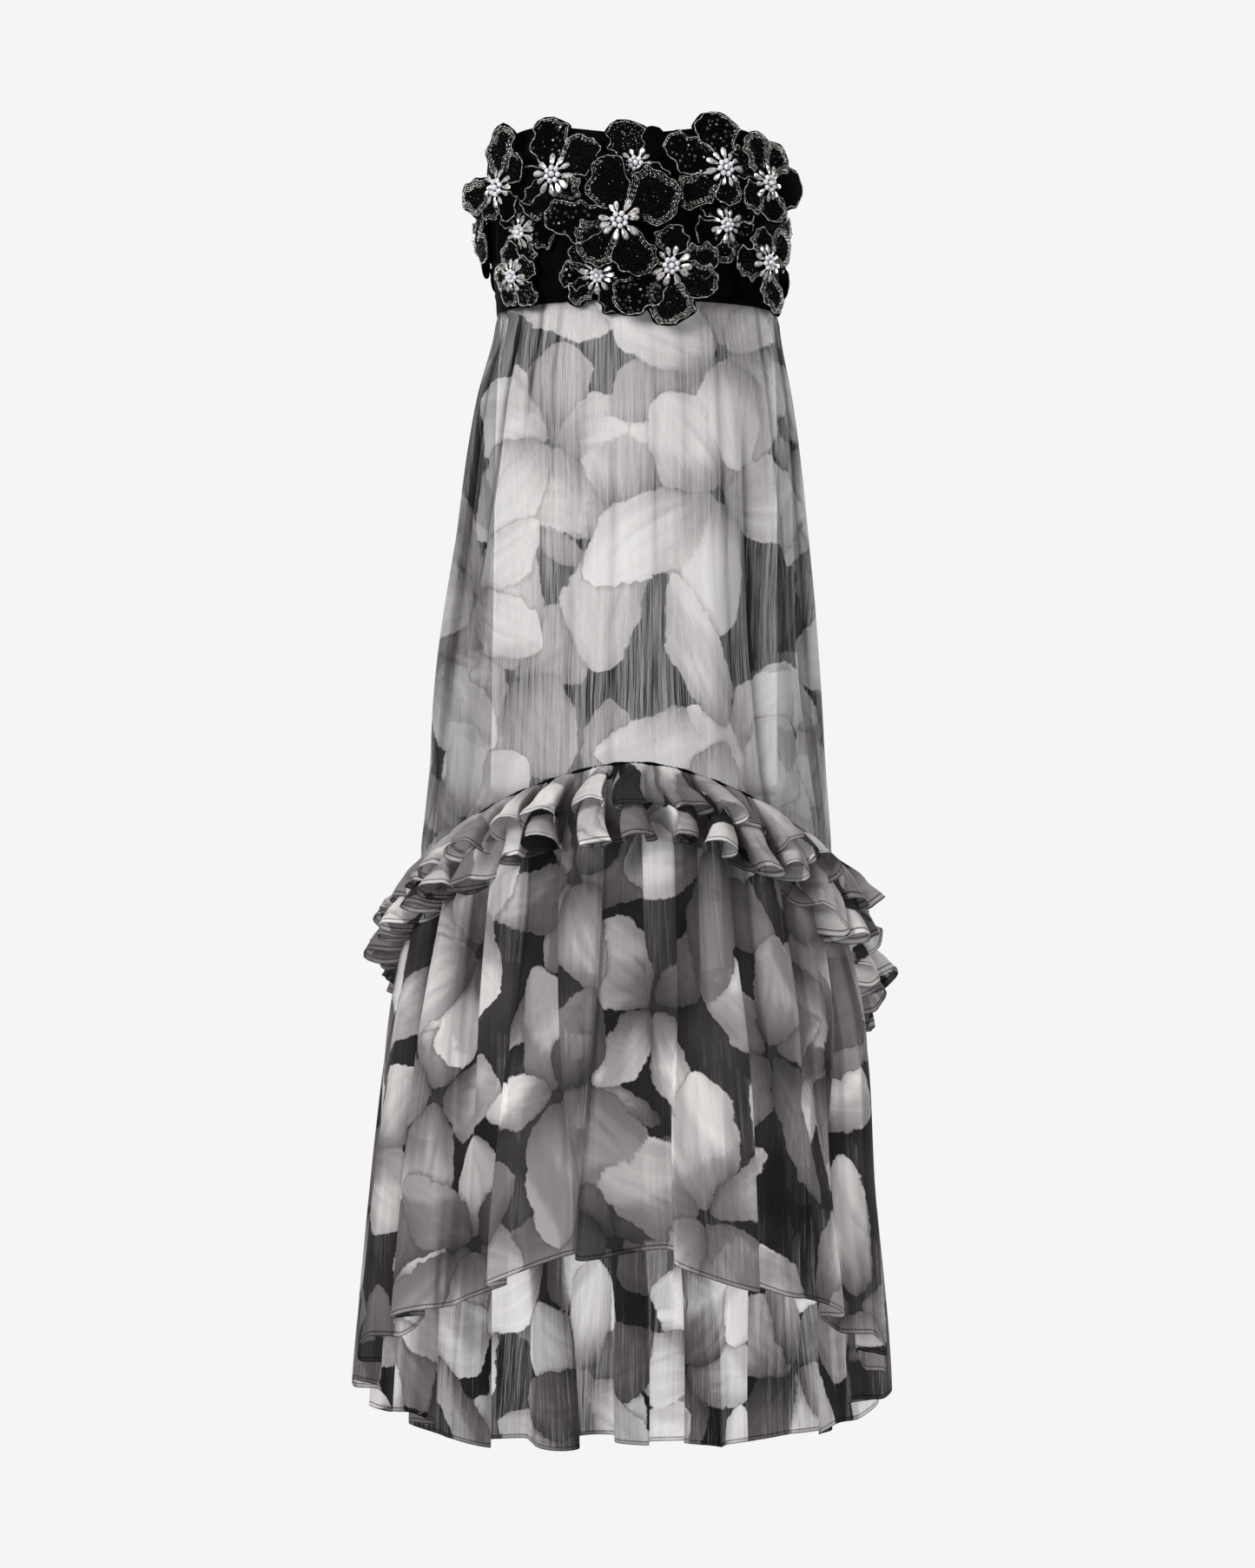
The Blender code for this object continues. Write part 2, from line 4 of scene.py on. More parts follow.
import bpy
import numpy as np
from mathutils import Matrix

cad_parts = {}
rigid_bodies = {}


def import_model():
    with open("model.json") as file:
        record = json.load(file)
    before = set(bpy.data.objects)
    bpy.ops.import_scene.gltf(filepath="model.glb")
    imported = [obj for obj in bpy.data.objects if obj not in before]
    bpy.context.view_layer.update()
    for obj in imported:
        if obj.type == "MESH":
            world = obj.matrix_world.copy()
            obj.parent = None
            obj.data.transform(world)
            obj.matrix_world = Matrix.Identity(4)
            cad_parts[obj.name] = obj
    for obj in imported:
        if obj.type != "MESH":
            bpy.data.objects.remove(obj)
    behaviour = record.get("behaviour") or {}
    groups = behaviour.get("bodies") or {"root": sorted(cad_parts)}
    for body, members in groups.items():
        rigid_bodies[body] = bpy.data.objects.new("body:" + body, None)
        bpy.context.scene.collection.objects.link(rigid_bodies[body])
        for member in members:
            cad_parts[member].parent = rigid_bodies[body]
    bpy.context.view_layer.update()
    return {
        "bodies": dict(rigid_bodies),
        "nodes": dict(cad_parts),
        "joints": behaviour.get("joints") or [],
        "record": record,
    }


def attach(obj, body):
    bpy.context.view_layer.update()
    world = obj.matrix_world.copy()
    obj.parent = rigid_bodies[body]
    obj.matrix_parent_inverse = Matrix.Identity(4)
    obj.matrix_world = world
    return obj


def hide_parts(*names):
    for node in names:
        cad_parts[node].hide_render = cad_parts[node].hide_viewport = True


mm = 0.001

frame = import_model()
print("frame loaded:", len(frame["nodes"]), "solids")


# The dress's form, as in its solids: rings that reach from its middle to four sides.
# height, left, right, front, back
dressRings = np.array([
    (-1400.0, 286.0, 257.0, 262.0, 288.0),
    (-1197.0, 277.0, 250.0, 248.0, 268.0),
    (-999.0, 263.0, 237.0, 230.0, 240.0),
    (-837.0, 245.0, 230.0, 208.0, 214.0),
    (-708.0, 224.0, 206.0, 188.0, 196.0),
    (-621.0, 214.0, 198.0, 173.0, 182.0),
    (-477.0, 201.0, 185.0, 154.0, 160.0),
    (-333.0, 182.0, 176.0, 135.0, 138.0),
    (-189.0, 161.0, 162.0, 117.0, 113.0),
    (-103.0, 141.0, 148.0, 104.0, 98.0),
    (-40.0, 148.0, 150.0, 120.0, 100.0),
    (10.0, 152.0, 152.0, 128.0, 102.0),
    (72.0, 150.0, 150.0, 117.0, 99.0),
    (140.0, 150.0, 150.0, 114.0, 99.0),
])
# height, left, right, front, back
slipRings = np.array([
    (-620.0, 148.0, 147.0, 128.0, 130.0),
    (-477.0, 146.0, 147.0, 125.0, 127.0),
    (-333.0, 144.0, 147.0, 119.0, 119.0),
    (-189.0, 142.0, 147.0, 108.5, 105.0),
    (-103.0, 138.7, 145.7, 101.7, 95.7),
])
# angle from the front, height of the ruffle's seam, height of the hem
fallingLines = np.array([
    (-30.0, -600.0, -1073.0),
    (0.0, -574.0, -1036.0),
    (30.0, -600.0, -1073.0),
    (60.0, -651.0, -1127.0),
    (90.0, -708.0, -1208.0),
    (120.0, -760.0, -1280.0),
    (150.0, -795.0, -1326.0),
    (180.0, -808.0, -1334.0),
    (210.0, -795.0, -1326.0),
])
# angle, height
topEdge = np.array([
    (-180.0, 45.0),
    (-135.0, 45.0),
    (-90.0, 48.0),
    (-45.0, 72.0),
    (0.0, 60.0),
    (45.0, 72.0),
    (90.0, 48.0),
    (135.0, 45.0),
    (180.0, 45.0),
])
# angle of a fold's crest, its height
skirtFolds = np.array([
    (-172.0, 7.0), (-139.0, 9.0), (-108.0, 7.0), (-76.0, 8.0), (-50.0, 9.0), (-23.0, 5.0),
    (4.0, 6.0), (27.0, 5.0), (53.0, 8.0), (80.0, 9.0), (112.0, 8.0), (148.0, 8.0),
])
tierFolds = np.array([
    (-84.0, 15.0), (-68.0, 21.0), (-51.0, 22.0), (-34.0, 21.0), (-13.0, 23.0), (7.0, 17.0),
    (22.0, 20.0), (38.0, 24.0), (55.0, 22.0), (70.0, 20.0), (84.0, 15.0),
])
ruffleWaves = np.array([
    (-86.0, 12.0), (-76.0, 10.0), (-66.0, 14.0), (-57.0, 10.0), (-47.0, 18.0), (-36.0, 11.0),
    (-28.0, 15.0), (-19.0, 19.0), (-9.0, 14.0), (0.0, 17.0), (10.0, 13.0), (20.0, 19.0),
    (29.0, 13.0), (38.0, 19.0), (49.0, 12.0), (58.0, 17.0), (67.0, 20.0), (77.0, 12.0),
    (86.0, 11.0),
])
# angle, spread, share more length
ruffleSwings = np.array([
    (-78.0, 15.0, -0.20),
    (58.0, 12.0, 0.36),
    (86.0, 10.0, -0.36),
    (114.0, 13.0, 0.48),
])
heights = {"stripTop": -84.0, "waist": -103.0, "slipTop": -103.1, "slipHem": -600.0}


def readRows(rows, at):
    # A smooth cubic through the rows of a table, read at values of its first column.
    at = np.clip(np.asarray(at, float), rows[0, 0], rows[-1, 0])
    slopes = np.gradient(rows[:, 1:], rows[:, 0], axis=0)
    low = np.clip(np.searchsorted(rows[:, 0], at) - 1, 0, len(rows) - 2)
    width = (rows[low + 1, 0] - rows[low, 0])[..., None]
    u = (at - rows[low, 0])[..., None] / width
    start, end = rows[low, 1:], rows[low + 1, 1:]
    curl = width * u * (1 - u)
    smooth = start + (end - start) * u * u * (3 - 2 * u)
    return smooth + curl * ((1 - u) * slopes[low] - u * slopes[low + 1])


def ringPoint(rings, angle, height):
    # A point on a ring of four quarter ellipses: sideways by the sine, forward by the cosine.
    left, right, front, back = np.moveaxis(readRows(rings, height), -1, 0)
    x = np.where(np.sin(angle) < 0, left, right) * np.sin(angle)
    y = -np.where(np.cos(angle) > 0, front, back) * np.cos(angle)
    return np.stack([x, y, height + 0.0 * x], axis=-1)


def turned(angle):
    # The angle in degrees, from -180 to 180.
    return (np.degrees(angle) + 180.0) % 360.0 - 180.0


def seamHeight(angle):
    # How high the ruffle's seam is at an angle, the same on both sides.
    return readRows(fallingLines, np.abs(turned(angle)))[..., 0]


def hemHeight(angle):
    # How high the tier's hem is at an angle, the same on both sides.
    return readRows(fallingLines, np.abs(turned(angle)))[..., 1]


def withBack(rows):
    # The front half's crests, and the same ones turned half round and mirrored for the back.
    whole = np.vstack([rows, np.column_stack([180.0 - rows[:, 0], rows[:, 1]])])
    whole[:, 0] = (whole[:, 0] + 180.0) % 360.0 - 180.0
    return whole[np.argsort(whole[:, 0])]


tierRound = withBack(tierFolds)
# At the hem the folds are fewer and wider
tierHemRound = np.array([
    (-172.0, 22.0), (-150.0, 18.0), (-129.0, 24.0), (-111.0, 16.0), (-92.0, 19.0), (-72.0, 20.0),
    (-50.0, 23.0), (-23.0, 26.0), (20.0, 24.0), (46.0, 25.0), (71.0, 20.0), (93.0, 18.0),
    (109.0, 22.0), (131.0, 17.0), (153.0, 25.0), (171.0, 15.0),
])
ruffleRound = withBack(ruffleWaves)


def crestShare(crests, angle):
    # Height between two crests, the share of the way from one to the next, and their spacing.
    degrees = turned(angle)
    rows = np.vstack([crests[-1] - (360.0, 0.0), crests, crests[0] + (360.0, 0.0)])
    low = np.clip(np.searchsorted(rows[:, 0], degrees) - 1, 0, len(rows) - 2)
    before, after = rows[low], rows[low + 1]
    spacing = after[..., 0] - before[..., 0]
    share = (degrees - before[..., 0]) / spacing
    return before[..., 1] + (after[..., 1] - before[..., 1]) * share, share, np.radians(spacing)


def unit(vectors):
    # Vectors divided by their lengths.
    return vectors / np.linalg.norm(vectors, axis=-1, keepdims=True)


def levelOut(points):
    # Straight out from the dress's middle line, level with the ground.
    return unit(points * (1.0, 1.0, 0.0))


def away(surface, angle, down):
    # The outward direction of a surface, square to two small steps on it.
    step = 0.002
    along = surface(angle + step, down) - surface(angle - step, down)
    fall = surface(angle, down + step) - surface(angle, down - step)
    return unit(np.cross(fall, along))


def softStep(low, high, value):
    # 0 below low, 1 above high, and a smooth S between.
    share = np.clip((value - low) / (high - low), 0, 1)
    return share * share * (3 - 2 * share)


def creases(rows, angle, down):
    # The sum of soft ridges: each is a bell across the cloth, and rises and dies on its way down.
    degrees = turned(angle)
    total = 0.0 * angle * down
    for where, height, spread, start, end in rows:
        across = (degrees - where) / spread
        long = softStep(start - 0.10, start + 0.10, down) * (1 - softStep(end - 0.14, end + 0.14, down))
        total = total + height * np.exp(-across * across) * long
    return total


def gridFaces(columns, rows, first=0, wrap=False, flip=False):
    # One quad for each cell of a grid of columns and rows of points.
    i = np.arange(columns if wrap else columns - 1)[:, None]
    j = np.arange(rows - 1)[None, :]
    here, there = first + i * rows + j, first + (i + 1) % columns * rows + j
    quads = np.stack([here, here + 1, there + 1, there], axis=-1).reshape(-1, 4)
    return quads[:, ::-1] if flip else quads


def roundOf(count):
    # Even angles round a circle, and the number of each and of the next.
    here = np.arange(count)
    return here * 2 * math.pi / count, here, (here + 1) % count


def makePiece(name, points, faceGroups, materials, faceMaterial=None):
    # faceGroups holds arrays of faces with the same number of corners.
    corners = np.concatenate([faces.ravel() for faces in faceGroups]).astype(np.int32)
    sizes = np.concatenate([np.full(len(faces), faces.shape[1]) for faces in faceGroups])
    starts = np.concatenate([[0], np.cumsum(sizes)[:-1]]).astype(np.int32)
    mesh = bpy.data.meshes.new(name)
    mesh.vertices.add(len(points))
    mesh.vertices.foreach_set("co", (points * mm).astype(np.float32).ravel())
    mesh.loops.add(len(corners))
    mesh.loops.foreach_set("vertex_index", corners)
    mesh.polygons.add(len(sizes))
    mesh.polygons.foreach_set("loop_start", starts)
    for material in materials:
        mesh.materials.append(material)
    if faceMaterial is not None:
        mesh.polygons.foreach_set("material_index", faceMaterial.astype(np.int32))
    mesh.update(calc_edges=True)
    mesh.validate()
    mesh.shade_smooth()
    piece = bpy.data.objects.new(name, mesh)
    bpy.context.scene.collection.objects.link(piece)
    return piece


def addFlatMap(piece, u, v):
    # The place on the flat cloth, in metres, as a UV map.
    corners = np.zeros(len(piece.data.loops), np.int32)
    piece.data.loops.foreach_get("vertex_index", corners)
    flat = np.column_stack([u.ravel(), v.ravel()])[corners] * mm
    piece.data.uv_layers.new(name="flat").data.foreach_set("uv", flat.astype(np.float32).ravel())


def closedWall(middle, thickness, wrap=False):
    # A grid of points given an even thickness, as an outer and an inner grid joined round the rim.
    columns, rows = middle.shape[:2]
    if wrap:
        along = np.roll(middle, -1, axis=0) - np.roll(middle, 1, axis=0)
    else:
        along = np.gradient(middle, axis=0)
    normal = np.cross(np.gradient(middle, axis=1), along)
    half = unit(normal) * thickness / 2
    points = np.concatenate([(middle + half).reshape(-1, 3), (middle - half).reshape(-1, 3)])
    inner = columns * rows
    rim = np.arange(columns if wrap else columns - 1)
    here, there = rim * rows, (rim + 1) % columns * rows
    top = np.stack([here, there, inner + there, inner + here], axis=-1)
    foot = np.stack([there, here, inner + here, inner + there], axis=-1) + (rows - 1)
    faces = [gridFaces(columns, rows, 0, wrap), gridFaces(columns, rows, inner, wrap, True), top, foot]
    if not wrap:
        side = np.arange(rows - 1)
        last = (columns - 1) * rows + side
        faces.append(np.stack([side + 1, side, inner + side, inner + side + 1], axis=-1))
        faces.append(np.stack([last, last + 1, inner + last + 1, inner + last], axis=-1))
    return points, faces


def arcLength(points, axis):
    # Distance along the grid's lines from their first point.
    steps = np.linalg.norm(np.diff(points, axis=axis), axis=-1)
    start = np.zeros_like(np.take(steps, [0], axis=axis))
    return np.concatenate([start, np.cumsum(steps, axis=axis)], axis=axis)


def shaderOf(name):
    # A new material, its node tree and its Principled shader.
    material = bpy.data.materials.new(name)
    material.use_nodes = True
    return material, material.node_tree, material.node_tree.nodes["Principled BSDF"]


def setInputs(node, values):
    # Sets a node's inputs by their names.
    for name, value in values.items():
        node.inputs[name].default_value = value


def addNode(tree, kind, **settings):
    # A new node, with its properties set.
    node = tree.nodes.new(kind)
    for key, value in settings.items():
        setattr(node, key, value)
    return node


def mathNode(tree, operation, first, second, clamp=False):
    # An operation on two values, each a number or a socket.
    node = addNode(tree, "ShaderNodeMath", operation=operation, use_clamp=clamp)
    for socket, value in zip(node.inputs, (first, second)):
        if isinstance(value, (int, float)):
            socket.default_value = value
        else:
            tree.links.new(value, socket)
    return node.outputs[0]


def noiseNode(tree, vector, stretch, scale=1.0, detail=2.0, roughness=0.5):
    # Noise on a stretched place, so that its grain is long one way.
    mapping = addNode(tree, "ShaderNodeMapping")
    setInputs(mapping, {"Scale": stretch})
    tree.links.new(vector, mapping.inputs["Vector"])
    noise = addNode(tree, "ShaderNodeTexNoise")
    setInputs(noise, {"Scale": scale, "Detail": detail, "Roughness": roughness})
    tree.links.new(mapping.outputs["Vector"], noise.inputs["Vector"])
    return noise.outputs["Fac"]


def spread(tree, value, low, high, toLow, toHigh):
    # A value between low and high moved to between two others.
    node = addNode(tree, "ShaderNodeMapRange")
    tree.links.new(value, node.inputs["Value"])
    setInputs(node, {"From Min": low, "From Max": high, "To Min": toLow, "To Max": toHigh})
    return node.outputs["Result"]


def addBump(tree, shader, height, strength, distance):
    # Bump from a height between nought and one, this strong and this deep in metres.
    bump = addNode(tree, "ShaderNodeBump")
    setInputs(bump, {"Strength": strength, "Distance": distance})
    tree.links.new(height, bump.inputs["Height"])
    tree.links.new(bump.outputs["Normal"], shader.inputs["Normal"])


def multiplied(tree, colour, factor):
    # A colour, given or from a socket, times a factor.
    node = addNode(tree, "ShaderNodeMix", data_type="RGBA", blend_type="MULTIPLY")
    node.inputs["Factor"].default_value = 1.0
    if isinstance(colour, tuple):
        node.inputs["A"].default_value = colour
    else:
        tree.links.new(colour, node.inputs["A"])
    tree.links.new(factor, node.inputs["B"])
    return node.outputs["Result"]


# Crinkle chiffon: streaks to a metre across and down the cloth, the share that the fine ones
# have, how far they sway in metres, how much they change the petals' cover, their bump and its
# depth, how much shade is painted into the cloth's colour in a valley, and how much more the
# cloth covers there.
crinkle = {"fine": (760.0, 14.0), "broad": (230.0, 6.0), "fineShare": 0.68, "sway": 0.0015,
           "petal": 0.09, "bump": 0.4, "bumpDepth": 0.0006, "valleyShade": 0.68, "denser": 0.25}
# The print's edges in millimetres, what is left of the light at a contour and in a shadow, and
# how much the ground's tone changes
printEdges = {"ragged": 3.0, "soft": 0.3, "contour": 1.8, "contourDark": 0.66, "shadow": 6.0,
              "shadowDark": 0.74, "ground": 0.07}
printColours = {"ground": (0.010, 0.0095, 0.0105), "middle": (0.250, 0.226, 0.230),
                "pale": (0.78, 0.76, 0.745)}
# The narrow hem, in millimetres from its edge: dark at the edge and at the stitching, and doubled
hemLook = {"edge": (0.6, 1.5), "edgeLight": 0.25, "stitching": 4.4, "stitchWidth": (0.4, 1.0),
           "stitchLight": 0.3, "doubled": (4.6, 5.0), "doubledCover": 0.97}


def crinkleStreaks(tree):
    # The place on the flat cloth, swayed sideways by a wide noise, and the sum of a fine and a
    # broad noise that are both stretched down the cloth there.
    flat = addNode(tree, "ShaderNodeUVMap", uv_map="flat").outputs["UV"]
    wide = noiseNode(tree, flat, (30.0, 30.0, 1.0))
    aside = addNode(tree, "ShaderNodeCombineXYZ")
    tree.links.new(spread(tree, wide, 0.0, 1.0, -crinkle["sway"], crinkle["sway"]), aside.inputs["X"])
    swayed = addNode(tree, "ShaderNodeVectorMath", operation="ADD")
    tree.links.new(flat, swayed.inputs[0])
    tree.links.new(aside.outputs["Vector"], swayed.inputs[1])
    place = swayed.outputs["Vector"]
    fine = noiseNode(tree, place, (*crinkle["fine"], 1.0), 1.0, 3.0, 0.6)
    broad = noiseNode(tree, place, (*crinkle["broad"], 1.0), 1.0, 1.0, 0.5)
    streak = mathNode(tree, "ADD", mathNode(tree, "MULTIPLY", fine, crinkle["fineShare"]),
                      mathNode(tree, "MULTIPLY", broad, 1 - crinkle["fineShare"]))
    return place, streak


def printTone(tree, place):
    # Four layers of petals over a dark ground. Each is drawn where its distance attribute, plus
    # a ragged noise, is above nought, with a dark contour, and shades what lies beside it.
    rough = noiseNode(tree, place, (75.0, 75.0, 1.0), 1.0, 4.0, 0.62)
    ragged = spread(tree, rough, 0.3, 0.7, -printEdges["ragged"], printEdges["ragged"])
    patches = noiseNode(tree, place, (9.0, 9.0, 1.0), 1.0, 2.0)
    tone = spread(tree, patches, 0.3, 0.7, 0.0, printEdges["ground"])
    for layers in ("petalsUnder", "petalsOver"):
        stored = addNode(tree, "ShaderNodeAttribute", attribute_name=layers)
        parts = addNode(tree, "ShaderNodeSeparateColor")
        tree.links.new(stored.outputs["Color"], parts.inputs["Color"])
        for distance, shade in ((parts.outputs["Red"], parts.outputs["Green"]),
                                (parts.outputs["Blue"], stored.outputs["Alpha"])):
            inside = mathNode(tree, "ADD", distance, ragged)
            mask = spread(tree, inside, -printEdges["soft"], printEdges["soft"], 0.0, 1.0)
            contour = spread(tree, inside, 0.2, printEdges["contour"], printEdges["contourDark"], 1.0)
            shadow = spread(tree, inside, -printEdges["shadow"], 0.0, 1.0, printEdges["shadowDark"])
            under = mathNode(tree, "MULTIPLY", tone, shadow)
            change = mathNode(tree, "SUBTRACT", mathNode(tree, "MULTIPLY", shade, contour), under)
            tone = mathNode(tree, "ADD", under, mathNode(tree, "MULTIPLY", change, mask))
    return tone


def hemLight(tree, fromHem):
    # Dark in a line at the hem's edge and in another at its stitching, elsewhere 1.
    edge = spread(tree, fromHem, *hemLook["edge"], hemLook["edgeLight"], 1.0)
    offset = mathNode(tree, "SUBTRACT", fromHem, hemLook["stitching"])
    offset = mathNode(tree, "ABSOLUTE", offset, 0.0)
    stitches = spread(tree, offset, *hemLook["stitchWidth"], hemLook["stitchLight"], 1.0)
    return mathNode(tree, "MULTIPLY", edge, stitches)


def chiffonMaterial(name, cover, petalCover, paleness, sheerness, streaks):
    # Colour is the petals' tone on a ramp of three greys, times the light of the streaks and the
    # hem, and times a painted shade in the valleys. Cover is the tone between the ground's and the
    # petals' cover, plus the streaks' swing, which is larger on the ground, and more in the valleys.
    material, tree, shader = shaderOf(name)
    place, streak = crinkleStreaks(tree)
    tone = printTone(tree, place)
    colour = addNode(tree, "ShaderNodeValToRGB")
    pale, middle = ([paleness * part for part in printColours[key]] for key in ("pale", "middle"))
    colour.color_ramp.elements[0].color = (*printColours["ground"], 1.0)
    colour.color_ramp.elements[1].color = (*pale, 1.0)
    colour.color_ramp.elements.new(0.5).color = (*middle, 1.0)
    tree.links.new(tone, colour.inputs["Fac"])
    fromHem = addNode(tree, "ShaderNodeAttribute", attribute_name="fromHem").outputs["Fac"]
    valleyShade = addNode(tree, "ShaderNodeAttribute", attribute_name="valleyShade").outputs["Fac"]
    light = spread(tree, streak, 0.3, 0.7, 1 - streaks, 1 + streaks)
    light = mathNode(tree, "MULTIPLY", light, hemLight(tree, fromHem))
    # Painted shade: the colour is darker at the bottom of a fold.
    light = mathNode(tree, "MULTIPLY", light, spread(tree, valleyShade, 0.0, 1.0, 1.0, 1 - crinkle["valleyShade"]))
    tree.links.new(multiplied(tree, colour.outputs["Color"], light), shader.inputs["Base Color"])
    petalShare = spread(tree, tone, 0.10, 0.90, 0.0, 1.0)
    span = spread(tree, petalShare, 0.0, 1.0, sheerness, crinkle["petal"])
    swing = mathNode(tree, "MULTIPLY", spread(tree, streak, 0.38, 0.62, 0.5, -0.5), span)
    whole = mathNode(tree, "ADD", spread(tree, petalShare, 0.0, 1.0, cover, petalCover), swing)
    whole = mathNode(tree, "ADD", whole, mathNode(tree, "MULTIPLY", valleyShade, crinkle["denser"]))
    doubled = spread(tree, fromHem, *hemLook["doubled"], hemLook["doubledCover"], 0.0)
    tree.links.new(mathNode(tree, "MAXIMUM", whole, doubled, clamp=True), shader.inputs["Alpha"])
    setInputs(shader, {"Roughness": 0.8, "Specular IOR Level": 0.06})
    addBump(tree, shader, streak, crinkle["bump"], crinkle["bumpDepth"])
    return material


# Black cloths: the bump's noise to a metre and its detail, the same for the change of black, the
# darkest and palest black, gloss, sheen, and the bump's strength and depth
blackLook = {
    "blackCrepe": {"grain": (1400.0, 1400.0, 500.0), "detail": 2.0, "patches": (60.0, 60.0, 25.0),
                   "patchDetail": 2.0, "black": (0.0012, 0.003), "gloss": 0.01, "sheen": 0.0,
                   "bump": (0.5, 0.0003)},
    "blackVelvet": {"grain": (900.0, 900.0, 900.0), "detail": 3.0, "patches": (900.0, 900.0, 900.0),
                    "patchDetail": 3.0, "black": (0.0006, 0.002), "gloss": 0.008, "sheen": 0.004,
                    "bump": (0.6, 0.0004)},
}


def blackMaterial(name):
    # Matte black cloth: its bump is a fine noise, the weave of crepe or the pile of velvet, and
    # its black runs between two shades by a second noise. Velvet has a sheen.
    look = blackLook[name]
    material, tree, shader = shaderOf(name)
    place = addNode(tree, "ShaderNodeTexCoord").outputs["Object"]
    grain = noiseNode(tree, place, look["grain"], 1.0, look["detail"])
    patches = noiseNode(tree, place, look["patches"], 1.0, look["patchDetail"])
    tone = spread(tree, patches, 0.3, 0.7, *look["black"])
    colour = addNode(tree, "ShaderNodeCombineColor")
    for channel in ("Red", "Green", "Blue"):
        tree.links.new(tone, colour.inputs[channel])
    tree.links.new(colour.outputs["Color"], shader.inputs["Base Color"])
    setInputs(shader, {"Roughness": 0.9, "Specular IOR Level": look["gloss"],
                       "Sheen Weight": look["sheen"]})
    addBump(tree, shader, grain, *look["bump"])
    return material


# The slip's lining: darkest and palest tone, colour, roughness, and the bump's strength and depth
liningLook = {"tones": (0.77, 0.83), "colour": (1.0, 0.985, 0.97, 1.0), "roughness": 0.55,
              "bump": (0.15, 0.0003)}


def slipMaterial():
    # Pale smooth lining: a faint long grain in colour and bump, and a soft gloss.
    material, tree, shader = shaderOf("paleSlip")
    place = addNode(tree, "ShaderNodeTexCoord").outputs["Object"]
    grain = noiseNode(tree, place, (500.0, 500.0, 9.0), 1.0, 2.0)
    tone = spread(tree, grain, 0.3, 0.7, *liningLook["tones"])
    tree.links.new(multiplied(tree, liningLook["colour"], tone), shader.inputs["Base Color"])
    setInputs(shader, {"Roughness": liningLook["roughness"]})
    addBump(tree, shader, grain, *liningLook["bump"])
    return material


# Beads and stones: darkest and palest tone, metallic, roughness, gloss. The tone differs at random
# from one bead to the next, and its pale end also stands in for painted glints.
glassLook = {
    "silverSeedBeads": ((0.16, 0.155, 0.15), (0.88, 0.86, 0.82), 0.6, 0.28, 0.5),
    "gunmetalBugles": ((0.012, 0.012, 0.013), (0.42, 0.40, 0.37), 0.75, 0.2, 0.5),
    "blackGlassBeads": ((0.001, 0.001, 0.0015), (0.012, 0.012, 0.014), 0.0, 0.12, 0.1),
    "blackSequins": ((0.006, 0.006, 0.007), (0.10, 0.10, 0.11), 0.5, 0.15, 0.3),
    "pearls": ((0.46, 0.455, 0.50), (0.70, 0.69, 0.72), 0.0, 0.22, 0.5),
    "clearCrystals": ((0.36, 0.34, 0.325), (1.0, 0.975, 0.95), 0.55, 0.08, 0.5),
}


def glassMaterial(name, low, high, metallic, roughness, gloss):
    # Beads and stones: a tone that changes from one to the next with a noise in its place. It is
    # both a random difference of tone and a painted glint where it is pale.
    material, tree, shader = shaderOf(name)
    place = addNode(tree, "ShaderNodeTexCoord").outputs["Object"]
    change = noiseNode(tree, place, (310.0, 310.0, 310.0), 1.0, 1.0)
    share = spread(tree, change, 0.35, 0.65, 0.0, 1.0)
    colour = addNode(tree, "ShaderNodeMix", data_type="RGBA")
    colour.inputs["A"].default_value = (*low, 1.0)
    colour.inputs["B"].default_value = (*high, 1.0)
    tree.links.new(share, colour.inputs["Factor"])
    tree.links.new(colour.outputs["Result"], shader.inputs["Base Color"])
    setInputs(shader, {"Metallic": metallic, "Roughness": roughness, "Specular IOR Level": gloss})
    return material


skirtChiffon = chiffonMaterial("skirtChiffon", cover=0.84, petalCover=0.59, paleness=0.46,
                               sheerness=0.33, streaks=0.05)
tierChiffon = chiffonMaterial("tierChiffon", cover=0.96, petalCover=0.70, paleness=0.88,
                              sheerness=0.28, streaks=0.17)
ruffleChiffon = chiffonMaterial("ruffleChiffon", cover=0.93, petalCover=0.82, paleness=0.82,
                                sheerness=0.28, streaks=0.17)
crepe = blackMaterial("blackCrepe")
slipCloth = slipMaterial()
velvet = blackMaterial("blackVelvet")
silverBeads, darkBugles, blackBeads, blackSequins, pearls, crystals = (
    glassMaterial(name, *look) for name, look in glassLook.items())
print("materials made")


# Blooms of large petals, in millimetres on the flat cloth, with stray petals strewn between.
# 4 to 6 petals make a bloom, with their feet this far from its middle. Ranges of a petal's turn
# in radians, length, width, bend and shade, and the depth of the shading
bloomPrint = {"spacing": 178.0, "rowPitch": 0.87, "jitter": 0.32, "petals": (4, 7), "foot": 7.0,
              "turns": (-0.2, 0.2), "length": (96.0, 168.0), "width": (54.0, 98.0),
              "bends": (-0.35, 0.35), "shades": (0.62, 0.80, 0.94, 1.0, 1.0),
              "strays": 1.3, "strayReach": 90.0, "strayLength": (60.0, 125.0),
              "strayWidth": (26.0, 50.0), "strayBends": (-0.5, 0.5), "strayShades": (0.5, 0.95),
              "depth": 1.2}
tierPrint = {**bloomPrint, "spacing": 192.0, "strays": 1.1, "depth": 1.75}
rufflePrint = {**bloomPrint, "spacing": 172.0, "depth": 1.35}


# How far round a printed petal its distance is worked out, in millimetres; how wavy its edge is;
# how much darker it is at its foot, down one side, in patches and along its crease, how wide
# that is, and how strong its veins are
petalShades = {"around": 30.0, "wave": 0.12, "fineWave": 0.05, "foot": 0.46, "side": 0.27,
               "patches": 0.14, "crease": 0.30, "creaseWidth": 0.07, "veins": 0.045}


